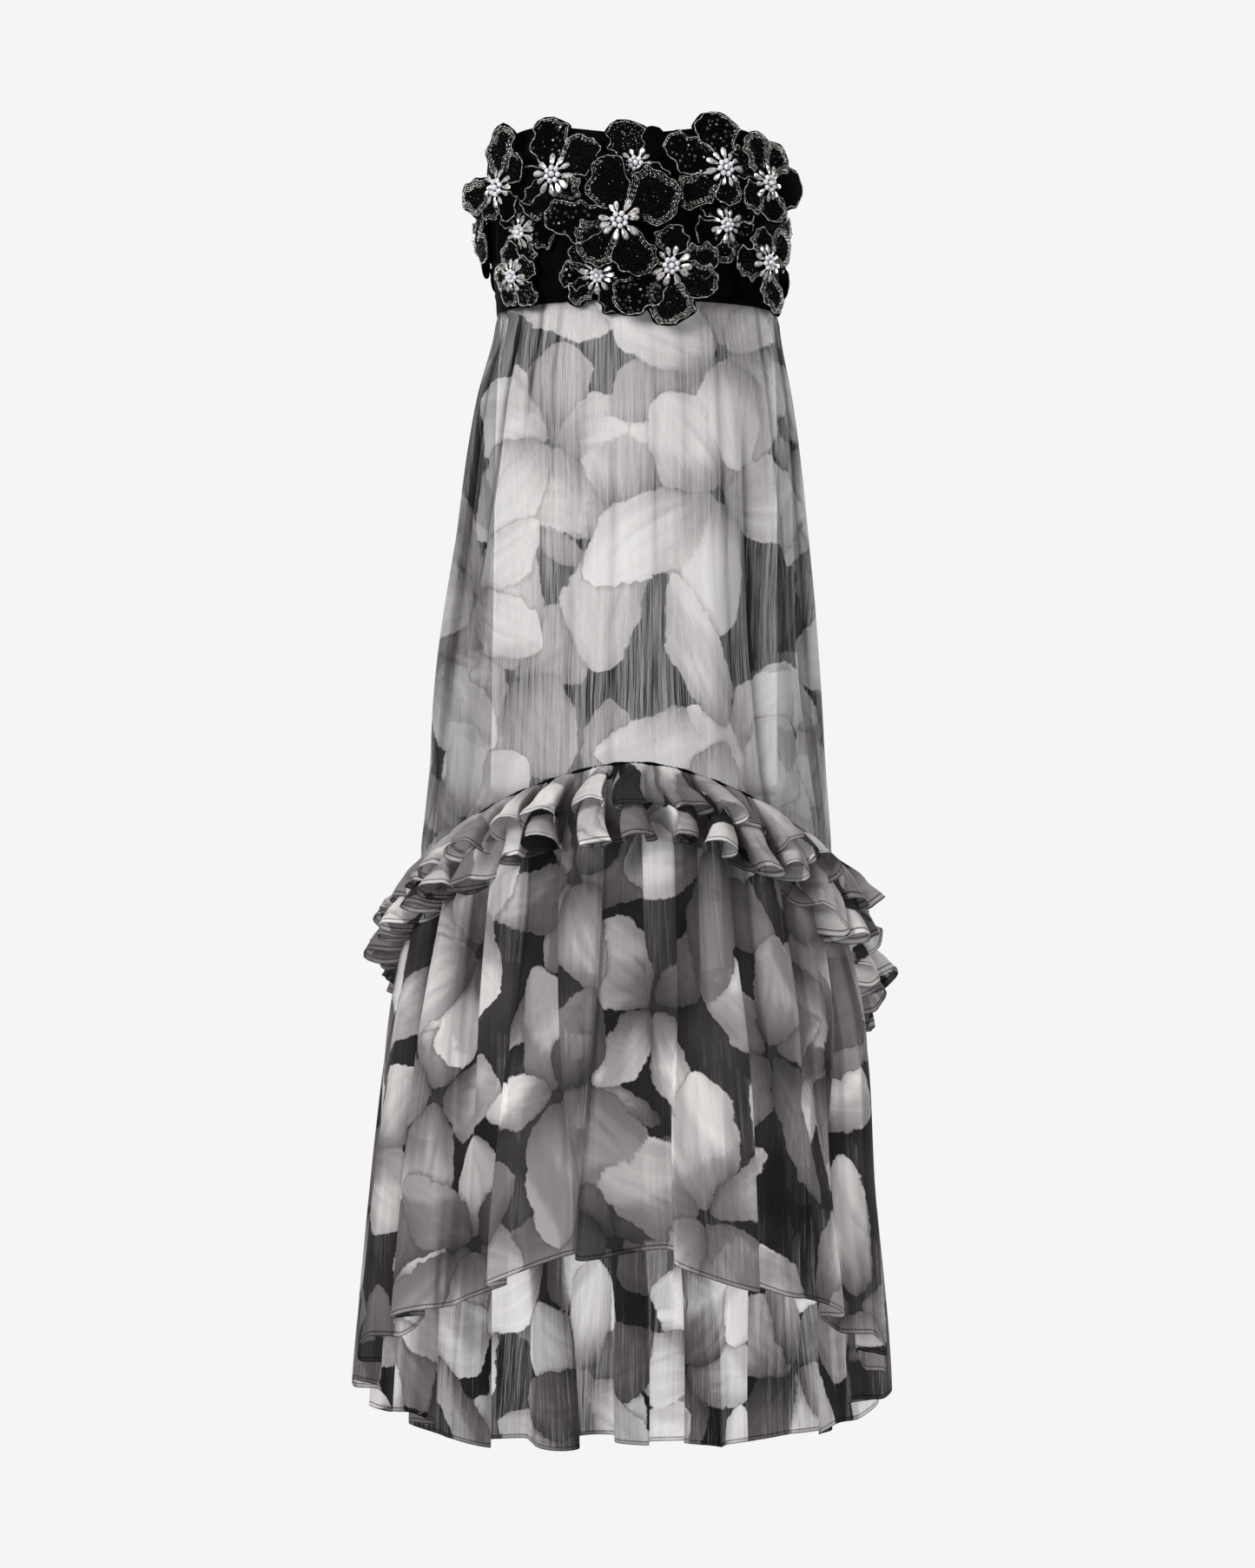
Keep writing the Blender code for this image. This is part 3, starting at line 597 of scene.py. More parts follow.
def drawPetal(distance, shade, u, v, petal, depth):
    # Along the petal from 0 to 1 and across it from -1 to 1; its half width is a sine of the way
    # along, with waves. Its shade is darker at the foot, down one side and along a crease.
    look = petalShades
    place, direction, length, width, tone, bend, phase, side = petal
    du, dv = u - place[0], v - place[1]
    near = np.maximum(np.abs(du), np.abs(dv)) < length + look["around"]
    du, dv = du[near], dv[near]
    along = (du * math.cos(direction) + dv * math.sin(direction)) / length
    across = (dv * math.cos(direction) - du * math.sin(direction)) / (width / 2)
    across = across + bend * (along - 0.3) ** 2
    inner = np.clip(along, 0, 1)
    waves = 1 + look["wave"] * np.sin(7 * inner + phase + 1.5 * np.sign(across))
    waves = waves + look["fineWave"] * np.sin(17 * inner + 2 * phase)
    half = np.sin(math.pi * inner ** 0.95) ** 0.6 * waves
    beside = (np.abs(across) - half) * width / 2
    past = (np.clip(-along, 0, None) + np.clip(along - 1, 0, None)) * length
    tip = np.minimum(inner, 1 - inner) * length
    inside = np.where((beside < 0) & (past == 0), np.minimum(-beside, tip * 1.2 + 0.2),
                      -np.hypot(np.clip(beside, 0, None), past))
    part = np.clip(across / np.maximum(half, 0.08), -1, 1)
    foot = 1 - softStep(-0.08, 0.28 + 0.14 * depth, inner)
    dimSide = softStep(0.15, 1.0, side * part) * (1 - 0.5 * inner)
    patches = softStep(0.2, 0.9, np.sin(4.4 * inner + 1.7 * part + phase))
    crease = (part - 0.3 * side + 0.5 * side * (inner - 0.4)) / look["creaseWidth"]
    crease = np.exp(-crease * crease) * softStep(0.05, 0.3, inner) * (1 - inner)
    veins = np.sin(part * 15 + phase + 4 * inner) + 0.7 * np.sin(part * 34 + 2 * phase + 7 * inner)
    own = (1 - depth * (1 - tone)) * (1 - look["foot"] * depth * foot)
    own = own * (1 - look["side"] * depth * dimSide) * (1 - look["patches"] * depth * patches)
    own = own * (1 - look["crease"] * crease) * (1 - look["veins"] * (1.7 + veins) * (1.25 - inner))
    better = inside > distance[near]
    distance[near] = np.where(better, inside, distance[near])
    shade[near] = np.where(better, own, shade[near])


def printedPetals(u, v, seed, look):
    # Blooms on a jittered grid, in two lots of two layers, so that a bloom's petals lie over
    # and under each other and no two of one layer meet often.
    rng = np.random.default_rng(seed)
    margin = 60.0  # how far outside the cloth a petal may start
    layers = [(np.full(u.shape, -margin), np.zeros(u.shape)) for number in range(4)]
    low, high = (u.min() - margin, v.min() - margin), (u.max() + margin, v.max() + margin)
    columns = int((high[0] - low[0]) / look["spacing"]) + 2
    rowPitch = look["spacing"] * look["rowPitch"]
    rows = int((high[1] - low[1]) / rowPitch) + 2
    for row in range(rows):
        for column in range(columns):
            jitter = rng.uniform(-look["jitter"], look["jitter"], 2) * look["spacing"]
            x = low[0] + (column + 0.5 * (row % 2)) * look["spacing"] + jitter[0]
            y = low[1] + row * rowPitch + jitter[1]
            for number in range(rng.poisson(look["strays"])):
                place = (x, y) + rng.uniform(-look["strayReach"], look["strayReach"], 2)
                petal = (place, rng.uniform(0, 2 * math.pi), rng.uniform(*look["strayLength"]),
                         rng.uniform(*look["strayWidth"]), rng.uniform(*look["strayShades"]),
                         rng.uniform(*look["strayBends"]), rng.uniform(0, 6.3), rng.choice((-1, 1)))
                drawPetal(*layers[0], u, v, petal, look["depth"])
            count, first = int(rng.integers(*look["petals"])), rng.uniform(0, 2 * math.pi)
            lot = 2 if (column + row) % 2 else 0
            for k in range(count):
                direction = first + 2 * math.pi * k / count + rng.uniform(*look["turns"])
                place = x + look["foot"] * math.cos(direction), y + look["foot"] * math.sin(direction)
                petal = (place, direction, rng.uniform(*look["length"]), rng.uniform(*look["width"]),
                         rng.choice(look["shades"]), rng.uniform(*look["bends"]), rng.uniform(0, 6.3),
                         rng.choice((-1, 1)))
                drawPetal(*layers[lot + k % 2], u, v, petal, look["depth"])
    return layers


def addPrint(piece, u, v, seed, look, fromHem, valleyShade):
    # The valley weight is 1 at the bottom of a fold: there shade is painted into the cloth's colour, and
    # the cloth covers more.
    layers = printedPetals(u, v, seed, look)
    for name, pair in (("petalsUnder", layers[:2]), ("petalsOver", layers[2:])):
        values = np.stack([*pair[0], *pair[1]], axis=-1)
        layer = piece.data.attributes.new(name, "FLOAT_COLOR", "POINT")
        layer.data.foreach_set("color", values.reshape(-1, 4).astype(np.float32).ravel())
    for name, values in (("fromHem", fromHem), ("valleyShade", valleyShade)):
        layer = piece.data.attributes.new(name, "FLOAT", "POINT")
        layer.data.foreach_set("value", np.asarray(values, np.float32).ravel())


# The first and last angle of the front and the back
halves = {"Front": (-math.pi / 2, math.pi / 2), "Back": (math.pi / 2, 3 * math.pi / 2)}


def finishCloth(piece, node):
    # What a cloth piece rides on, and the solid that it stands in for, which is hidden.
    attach(piece, "root")
    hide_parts(node)


def layCloth(half, look, length, form):
    # A form's points on an even grid over one half, and how far each lies across the cloth from
    # its middle line and down it from its upper edge.
    angles = np.linspace(*halves[half], look["columns"])
    downs = np.linspace(0, 1, int(length / look["spacing"]))
    angle, down = np.meshgrid(angles, downs, indexing="ij")
    points = form(angle, down)
    across, fall = arcLength(points, 0), arcLength(points, 1)
    return angle, down, points, across - across[len(angles) // 2], fall


def makeChiffon(name, points, chiffon, across, fall):
    # One layer of chiffon on a grid, with its places on the flat cloth.
    piece = makePiece(name, points.reshape(-1, 3), [gridFaces(*points.shape[:2])], [chiffon])
    addFlatMap(piece, across, fall)
    return piece


# Each row is a soft ridge or trough of the skirt: angle, height, spread, start, end
skirtCreases = [
    (-86, 3.5, 3.2, 0.0, 1.1), (-70, -4.0, 2.2, 0.05, 0.8), (-61, 4.5, 2.4, 0.0, 1.1),
    (-53, -5.5, 1.6, 0.02, 0.52), (-46, 3.5, 2.0, 0.0, 0.6), (-41, -4.0, 1.3, -0.1, 0.22),
    (-36, 2.4, 1.8, 0.0, 0.9), (-31, -1.8, 1.5, -0.1, 0.3), (-27, 2.2, 1.6, 0.1, 1.1),
    (-19, -1.6, 1.6, 0.2, 0.9), (-13, 1.4, 1.4, -0.1, 0.4), (-7, -1.8, 1.6, 0.3, 1.1),
    (1, 2.2, 1.8, -0.1, 1.0), (7, -1.5, 1.4, 0.1, 0.6), (13, 1.8, 1.7, 0.3, 1.1),
    (18, -1.6, 1.5, -0.1, 0.5), (24, 2.0, 1.6, 0.0, 1.1), (31, -2.2, 1.5, 0.1, 0.8),
    (36, 3.2, 1.9, 0.1, 1.1), (42, -4.2, 1.7, 0.25, 1.1), (48, 2.8, 2.1, 0.0, 0.7),
    (57, -3.4, 2.0, -0.1, 0.6), (66, 4.0, 2.5, 0.1, 1.1), (75, -4.2, 2.4, 0.0, 0.7),
    (87, 3.2, 3.0, 0.1, 1.1), (98, -3.6, 2.6, 0.0, 0.8), (107, 3.2, 2.2, 0.1, 1.1),
    (119, -3.0, 2.4, -0.1, 0.6), (127, 2.8, 2.0, 0.2, 1.1), (138, -3.6, 2.3, 0.0, 0.9),
    (150, 2.6, 2.2, -0.1, 0.5), (158, -2.8, 2.0, 0.2, 1.1), (168, 3.0, 2.1, 0.0, 1.0),
    (177, -2.4, 1.8, 0.1, 0.7), (-174, 2.8, 2.1, 0.0, 1.1), (-163, -3.2, 2.2, 0.1, 0.8),
    (-152, 3.0, 2.0, 0.2, 1.1), (-142, -2.6, 1.9, -0.1, 0.5), (-131, 3.4, 2.3, 0.0, 1.1),
    (-120, -3.8, 2.2, 0.1, 0.9), (-109, 3.0, 2.4, -0.1, 0.6), (-97, -3.2, 2.3, 0.2, 1.1),
]
# The grid, the small gathers at the waist, the depth of a trough at which its painted shade is
# full, how far from a hem it all counts as, the ease of the flat cloth's width, and the print's seeds
skirtLook = {"columns": 250, "spacing": 3.6, "length": 560, "gathers": 150, "gatherHeight": 2.2,
             "gatherReach": 60.0, "valleyDepth": 4.5, "fromHem": 50.0, "ease": 1.02,
             "seeds": {"Front": 11, "Back": 23}}


def smallGathers(angle, count, seed):
    # Uneven small ripples: three sines of near counts, so that they swell and die round the seam.
    # The counts are whole, so that each sine meets itself.
    phase = np.random.default_rng(seed).uniform(0, 6.3, 3)
    first = np.sin(count * angle + phase[0] + 1.5 * np.sin(7 * angle))
    second = np.sin((count * 0.72 // 1) * angle + phase[1])
    third = np.sin((count * 1.31 // 1) * angle + phase[2])
    return 0.5 * first + 0.3 * second + 0.3 * third


def skirtFold(angle, down):
    # The solid's skirt: the ring at each height from waist to seam, and how far its folds stand
    # out, a cosine from crest to crest that is largest half way down.
    height = heights["waist"] + (seamHeight(angle) - heights["waist"]) * down
    swell = np.sin(math.pi * np.clip(down, 0, 1) ** 1.4) ** 2
    size, share = crestShare(skirtFolds, angle)[:2]
    out = size * np.cos(2 * math.pi * share) * (0.05 + 0.95 * swell)
    return ringPoint(dressRings, angle, height), out


def plainSkirt(angle, down):
    # The ring moved out by its folds, without creases: what the ruffle is sewn to.
    base, out = skirtFold(angle, down)
    return base + levelOut(base) * out[..., None]


def skirtForm(angle, down):
    # The solid's skirt, with its creases and with gathers that die below the waist.
    base, out = skirtFold(angle, down)
    begun = (0.25 + 0.75 * softStep(0.02, 0.35, down)) * (1 - softStep(0.9, 1.0, down))
    out = out + creases(skirtCreases, angle, down) * begun
    gather = (0.5 + 0.5 * smallGathers(angle, skirtLook["gathers"], 5)) * skirtLook["gatherHeight"]
    gather = gather * np.exp((base[..., 2] - heights["waist"]) / skirtLook["gatherReach"])
    out = out + gather * softStep(0, 0.02, down)
    return base + levelOut(base) * out[..., None]


def makeSkirt():
    # Each half is one layer of chiffon with its own print, with shade painted into its colour in its
    # creases' troughs.
    look = skirtLook
    for half in halves:
        angle, down, points, across, fall = layCloth(half, look, look["length"], skirtForm)
        piece = makeChiffon("skirt" + half, points, skirtChiffon, across, fall)
        piece.visible_shadow = False  # light falls through the sheer cloth
        # Painted shade: full at the bottom of a crease's trough, none on a ridge.
        valleyShade = np.clip(-creases(skirtCreases, angle, down) / look["valleyDepth"], 0, 1)
        fromHem = np.full(fall.shape, look["fromHem"])  # its lower edge is in the ruffle's seam
        addPrint(piece, across, fall, look["seeds"][half], bloomPrint, fromHem, valleyShade)
        finishCloth(piece, "skirt_" + half.lower())


# The grid, the wall, how far its middle lies inside the solid's face, and the flat cloth in metres
slipLook = {"columns": 120, "rows": 40, "wall": 1.0, "inside": 1.2, "flat": (0.88, 0.50)}
slipCreases = [
    (-80, 2.5, 6.0, 0.0, 1.1), (-48, -2.0, 5.0, 0.1, 1.1), (-24, 2.4, 4.0, 0.0, 1.1),
    (-9, -1.8, 4.0, 0.2, 1.1), (5, 2.0, 4.5, 0.1, 1.1), (19, -1.6, 4.0, 0.0, 0.8),
    (33, 2.6, 4.5, 0.0, 1.1), (58, -2.4, 6.0, 0.1, 1.1), (84, 2.0, 6.0, 0.0, 1.1),
    (118, -2.2, 7.0, 0.0, 1.1), (146, 2.4, 7.0, 0.0, 1.1), (176, -2.0, 7.0, 0.1, 1.1),
    (-148, 2.2, 7.0, 0.0, 1.1), (-114, -2.2, 7.0, 0.0, 1.1),
]


def makeSlip():
    # The slip's ring at each height, with creases that begin below its top, as a thin wall.
    look = slipLook
    angles = np.linspace(-math.pi, math.pi, look["columns"] + 1)[:-1]
    angle, down = np.meshgrid(angles, np.linspace(0, 1, look["rows"]), indexing="ij")
    height = heights["slipTop"] + (heights["slipHem"] - heights["slipTop"]) * down
    base = ringPoint(slipRings, angle, height)
    ridges = creases(slipCreases, angle, down) * softStep(0.02, 0.3, down)
    middle = base + levelOut(base) * (ridges - look["inside"])[..., None]
    points, faces = closedWall(middle, look["wall"], wrap=True)
    piece = makePiece("shortSlip", points, faces, [slipCloth])
    finishCloth(piece, "slip")


# The grids of the bodice and the strip, the wall, and how far the strip's middle stands out
bodiceLook = {"columns": 110, "rows": 34, "stripRows": 9, "wall": 2.3, "proud": 0.5}
bodiceCreases = [
    (-62, 1.0, 7.0, 0.2, 0.9), (-38, -0.8, 5.0, 0.4, 1.1), (-15, 0.6, 5.0, 0.3, 0.9),
    (22, -0.7, 6.0, 0.3, 1.0), (47, 0.9, 6.0, 0.2, 0.9), (100, -0.8, 8.0, 0.2, 1.0),
    (140, 0.8, 9.0, 0.1, 0.9), (-165, -0.7, 8.0, 0.2, 1.0), (-120, 0.8, 8.0, 0.1, 0.9),
]


def bodiceForm(angle, down):
    # The ring at each height between the shaped top edge and the waist strip, lightly creased.
    top = readRows(topEdge, turned(angle))[..., 0]
    base = ringPoint(dressRings, angle, top + (heights["stripTop"] - top) * down)
    return base + levelOut(base) * creases(bodiceCreases, angle, down)[..., None]


def stripForm(angle, down):
    # A flat band between two heights, a little proud at its middle.
    height = heights["stripTop"] + (heights["waist"] - heights["stripTop"]) * down
    base = ringPoint(dressRings, angle, height)
    return base + levelOut(base) * (bodiceLook["proud"] * np.sin(math.pi * down))[..., None]


def makeBodice():
    # Each panel's form on a grid, given a wall and closed round its rim.
    look = bodiceLook
    kinds = (("bodice", bodiceForm, look["rows"], "bodice_"),
             ("waistStrip", stripForm, look["stripRows"], "waist_strip_"))
    for half, ends in halves.items():
        for name, form, rows, node in kinds:
            angle, down = np.meshgrid(np.linspace(*ends, look["columns"]), np.linspace(0, 1, rows),
                                      indexing="ij")
            middle = form(angle, down)
            points, faces = closedWall(middle, look["wall"])
            piece = makePiece(name + half, points, faces, [crepe])
            piece.data.set_sharp_from_angle(angle=math.radians(60))
            finishCloth(piece, node + half.lower())


# The tier's grid; how far its folds' flanks run back under their crests, and how square the folds
# are; its small gathers; how far the seam's folds give way to the hem's, how square those are,
# and how much the hem goes up and down; the flat cloth's ease and the print's seeds
tierLook = {"columns": 430, "spacing": 3.7, "length": 500, "overhang": 0.105, "square": 0.6,
            "gathers": 190, "gatherHeight": 2.2, "gatherReach": 70.0, "merge": 0.88,
            "hemSquare": 0.5, "hemWave": 9.0, "ease": 1.01, "seeds": {"Front": 41, "Back": 58}}
# angle, height, spread, start, end
tierCreases = [
    (-80, 3.0, 1.5, 0.3, 1.1), (-69, -3.0, 1.3, 0.1, 0.7), (-59, 3.0, 1.2, 0.5, 1.1),
    (-48, -2.6, 1.1, 0.1, 0.6), (-38, 2.6, 1.2, 0.3, 1.1), (-28, -3.0, 1.2, 0.2, 0.9),
    (-17, 2.4, 1.1, 0.5, 1.1), (-6, -2.6, 1.1, 0.1, 0.7), (5, 2.6, 1.1, 0.3, 1.1),
    (15, -2.4, 1.1, 0.2, 0.8), (26, 3.0, 1.3, 0.4, 1.1), (36, -2.6, 1.1, 0.1, 0.6),
    (45, 2.6, 1.2, 0.5, 1.1), (57, -3.0, 1.3, 0.2, 0.9), (67, 2.8, 1.3, 0.3, 1.1),
    (78, -3.0, 1.5, 0.1, 0.7), (93, 3.0, 1.4, 0.4, 1.1), (108, -3.0, 1.4, 0.1, 0.8),
    (123, 2.8, 1.3, 0.4, 1.1), (139, -2.8, 1.3, 0.2, 0.7), (153, 2.8, 1.3, 0.4, 1.1),
    (167, -2.8, 1.3, 0.1, 0.8), (-176, 2.8, 1.3, 0.4, 1.1), (-161, -2.8, 1.3, 0.2, 0.8),
    (-146, 2.8, 1.3, 0.4, 1.1), (-131, -2.8, 1.3, 0.1, 0.8), (-116, 2.8, 1.4, 0.4, 1.1),
    (-101, -3.0, 1.4, 0.2, 0.9),
]


def foldWave(crests, angle, square):
    # A cosine from crest to crest, squared off by a power, and the sideways sway that turns its
    # flanks back under the crests: a sine of twice the way round.
    size, share, spacing = crestShare(crests, angle)
    turn = np.cos(2 * math.pi * share)
    out = size * np.sign(turn) * np.abs(turn) ** square
    return out, spacing * np.sin(4 * math.pi * share) * np.clip(size / 12, 0, 1.25)


def tierFold(angle, down):
    # Narrow folds at the seam that give way to wide ones at the hem, and their sideways sway.
    out, sway = foldWave(tierRound, angle, tierLook["square"])
    lower, lowerSway = foldWave(tierHemRound, angle, tierLook["hemSquare"])
    fallen = softStep(0.12, 1.0, down) * tierLook["merge"]
    return out + (lower - out) * fallen, sway + (lowerSway - sway) * fallen


def tierForm(angle, down):
    # Folds that start small under the ruffle and open out to the hem.
    depth = 0.10 + 0.90 * np.sin(math.pi / 2 * np.clip(down, 0, 1) ** 0.5)
    out, sway = tierFold(angle, down)
    drift = 0.012 * np.sin(5 * down + 9 * angle) * down
    shifted = angle + sway * tierLook["overhang"] * depth + drift
    seam = seamHeight(shifted)
    height = seam + (hemHeight(shifted) - seam + tierLook["hemWave"] * smallGathers(angle, 11, 4)) * down
    base = ringPoint(dressRings, shifted, height)
    gather = smallGathers(angle, tierLook["gathers"], 8) * tierLook["gatherHeight"]
    gather = gather * np.exp((height - seam) / tierLook["gatherReach"])
    out = out * depth + gather + creases(tierCreases, angle, down) * depth
    return base + levelOut(base) * out[..., None]


def clothAcross(across, crests, angles):
    # The place across the flat cloth. It runs true over each fold's crest, and what the gathers
    # hide near the seam is passed over in the valleys: each row is moved, crest by crest, to
    # where the hem has that crest.
    share, spacing = crestShare(crests, angles)[1:]
    columns = np.arange(len(angles))
    before = np.interp(angles - share * spacing, angles, columns)
    after = np.interp(angles + (1 - share) * spacing, angles, columns)
    shift = across[:, -1:] - across
    mix = softStep(0.36, 0.64, share)[:, None]
    atBefore, atAfter = (np.array([np.interp(at, columns, row) for row in shift.T]).T
                         for at in (before, after))
    return across + atBefore * (1 - mix) + atAfter * mix


def makeTier():
    # Each half is one layer of chiffon with its own print, with shade painted into its colour in its
    # folds' valleys.
    look = tierLook
    for half in halves:
        angle, down, points, across, fall = layCloth(half, look, look["length"], tierForm)
        cut = clothAcross(across, tierRound, angle[:, 0])
        piece = makeChiffon("tier" + half, points, tierChiffon, cut, fall)
        piece.visible_shadow = False  # light falls through the sheer cloth
        # Painted shade: full deep in a fold's valley near the ruffle, less towards the hem.
        valleyShade = softStep(0.5, 6.0, -tierFold(angle, down)[0]) * (1 - 0.62 * down)
        addPrint(piece, cut, fall, look["seeds"][half], tierPrint, fall[:, -1:] - fall, valleyShade)
        finishCloth(piece, "tier_" + half.lower())


# Each ruffle layer: rise above the seam, length, slopes below level at the stitching and hem in
# front and at the sides, distance from the skirt, seed, how far the flanks curl back, small
# ripples at the hem, and how much a crest flares
ruffleLayers = {
    "Upper": {"rise": 7.0, "length": 64.0, "front": (26.0, 80.0), "side": (34.0, 86.0), "stand": 3.45,
              "seed": 71, "overhang": 0.20, "ripple": 2.2, "flare": 24.0},
    "Lower": {"rise": 4.0, "length": 86.0, "front": (40.0, 88.0), "side": (46.0, 92.0), "stand": 1.75,
              "seed": 83, "overhang": 0.18, "ripple": 1.8, "flare": 16.0},
}
# The grid; how square the waves are, how crooked on their way down, and how crumpled; ranges of
# each wave's mood, which makes it higher and wider, of its lean and of its length; small gathers
# at the stitching; the depth at which a valley's painted shade is full; the print's distance from
# the tier's; the flat cloth's ease
ruffleLook = {"columns": 560, "spacing": 3.6, "square": 0.72, "crook": 0.20, "crumple": 4.6,
              "moods": (0.25, 1.45), "leans": (-0.17, 0.17), "lengths": (0.84, 1.10),
              "gatherHeight": 1.1, "valleyDepth": 13.0, "printStart": 300.0, "ease": 1.01}


def ruffleForm(layer):
    # The layer leaves the skirt, arches out and turns down. Its waves lie square to that arch,
    # grow from nothing at the stitching, and their flanks curl back under them at the hem.
    rng = np.random.default_rng(layer["seed"] + 500)
    ranges = ruffleLook["moods"], ruffleLook["leans"], (0, 6.3), ruffleLook["lengths"]
    moods, leans, turns, spans = (
        np.column_stack([ruffleRound[:, 0], rng.uniform(low, high, len(ruffleRound))])
        for low, high in ranges)

    def form(angle, down):
        # A circular arc from the first slope to the last, with the wave's height square to it.
        out, sway = foldWave(ruffleRound, angle, ruffleLook["square"])
        mood, share, spacing = crestShare(moods, angle)
        crest = np.cos(2 * math.pi * share)
        out = out * (0.68 + 0.36 * mood)
        lean = crestShare(leans, angle)[0] * spacing
        sway = sway * (0.7 + 0.3 * mood) + lean * (1 + crest) / layer["overhang"]
        grown = np.maximum(down, 0) ** 0.9
        shifted = angle + sway * layer["overhang"] * grown * (1 - 0.3 * np.sin(angle) ** 2)
        crook = np.sin(4.2 * down + crestShare(turns, angle)[0]) * down * ruffleLook["crook"]
        shifted = shifted + crook * spacing
        start = 1 - layer["rise"] / (heights["waist"] - seamHeight(shifted))
        root = plainSkirt(shifted, start) + away(plainSkirt, shifted, start) * layer["stand"]
        side = np.sin(shifted) ** 2
        first, last = (np.radians(front + (beside - front) * side)
                       for front, beside in zip(layer["front"], layer["side"]))
        last = last - np.radians(layer["flare"]) * mood * crest * (0.4 + 0.6 * down)
        offs = (turned(shifted)[..., None] - ruffleSwings[:, 0]) / ruffleSwings[:, 1]
        longer = 1 + (ruffleSwings[:, 2] * np.exp(-offs * offs)).sum(axis=-1)
        length = layer["length"] * crestShare(spans, angle)[0] * longer
        slope = first + (last - first) * down
        reach = length * (np.sin(slope) - np.sin(first)) / (last - first)
        drop = length * (np.cos(first) - np.cos(slope)) / (last - first)
        ripple = smallGathers(angle, 230, layer["seed"]) * layer["ripple"] * np.maximum(down, 0) ** 2.5
        gather = smallGathers(angle, 310, layer["seed"] + 1) * ruffleLook["gatherHeight"]
        gather = gather * np.exp(-down * 5)
        crumple = smallGathers(angle + 0.05 * np.sin(5 * down), 61, layer["seed"] + 2)
        crumple = crumple * ruffleLook["crumple"]
        size = out * grown + ripple + gather * softStep(0, 0.06, down) + crumple * down * down
        sideways = (reach + size * np.sin(slope))[..., None]
        upward = (size * np.cos(slope) - drop)[..., None]
        return root + levelOut(root) * sideways + np.array((0.0, 0.0, 1.0)) * upward
    return form


# The binding's half thickness and half height, and how far out and down from the stitching it is
headingLook = {"thick": 1.3, "tall": 2.3, "proud": 0.4, "low": 0.5}


def makeHeading(name, line, fall):
    # A narrow dark binding over the ruffle's raw upper edge: a flat tube along the stitching.
    out = levelOut(line)
    turn, here = roundOf(8)[:2]
    proud, low = headingLook["proud"], headingLook["low"]
    ring = (out * (headingLook["thick"] * np.cos(turn) + proud)[:, None, None]
            - unit(fall) * (headingLook["tall"] * np.sin(turn) - low)[:, None, None])
    count = len(line)
    ends = np.stack([here * count, here[::-1] * count + count - 1])
    faces = [gridFaces(len(turn), count, 0, True), ends]
    piece = makePiece(name, (line + ring).reshape(-1, 3), faces, [crepe])
    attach(piece, "root")
    return piece


def makeRuffles():
    # Two layers, each in two halves. A heading is sewn over the upper one's raw edge.
    look = ruffleLook
    for name, layer in ruffleLayers.items():
        form = ruffleForm(layer)
        for half, ends in halves.items():
            angle, down, points, across, fall = layCloth(half, look, layer["length"], form)
            cut = clothAcross(across, ruffleRound, angle[:, 0])
            piece = makeChiffon("ruffle" + name + half, points, ruffleChiffon, cut, fall)
            # Painted shade in the valleys between the waves.
            wave = foldWave(ruffleRound, angle, look["square"])[0]
            valleyShade = softStep(0, look["valleyDepth"], -wave)
            addPrint(piece, cut, fall + look["printStart"], layer["seed"] + len(half), rufflePrint,
                     (1 - down) * layer["length"], valleyShade)
            headings = []
            if name == "Upper":
                rows = form(np.linspace(*ends, 240)[:, None], np.array([[0.0, 0.03]]))
                headings = [makeHeading("ruffleHeading" + half, rows[:, 0], rows[:, 1] - rows[:, 0])]
            finishCloth(piece, "ruffle_" + name.lower() + "_" + half.lower())


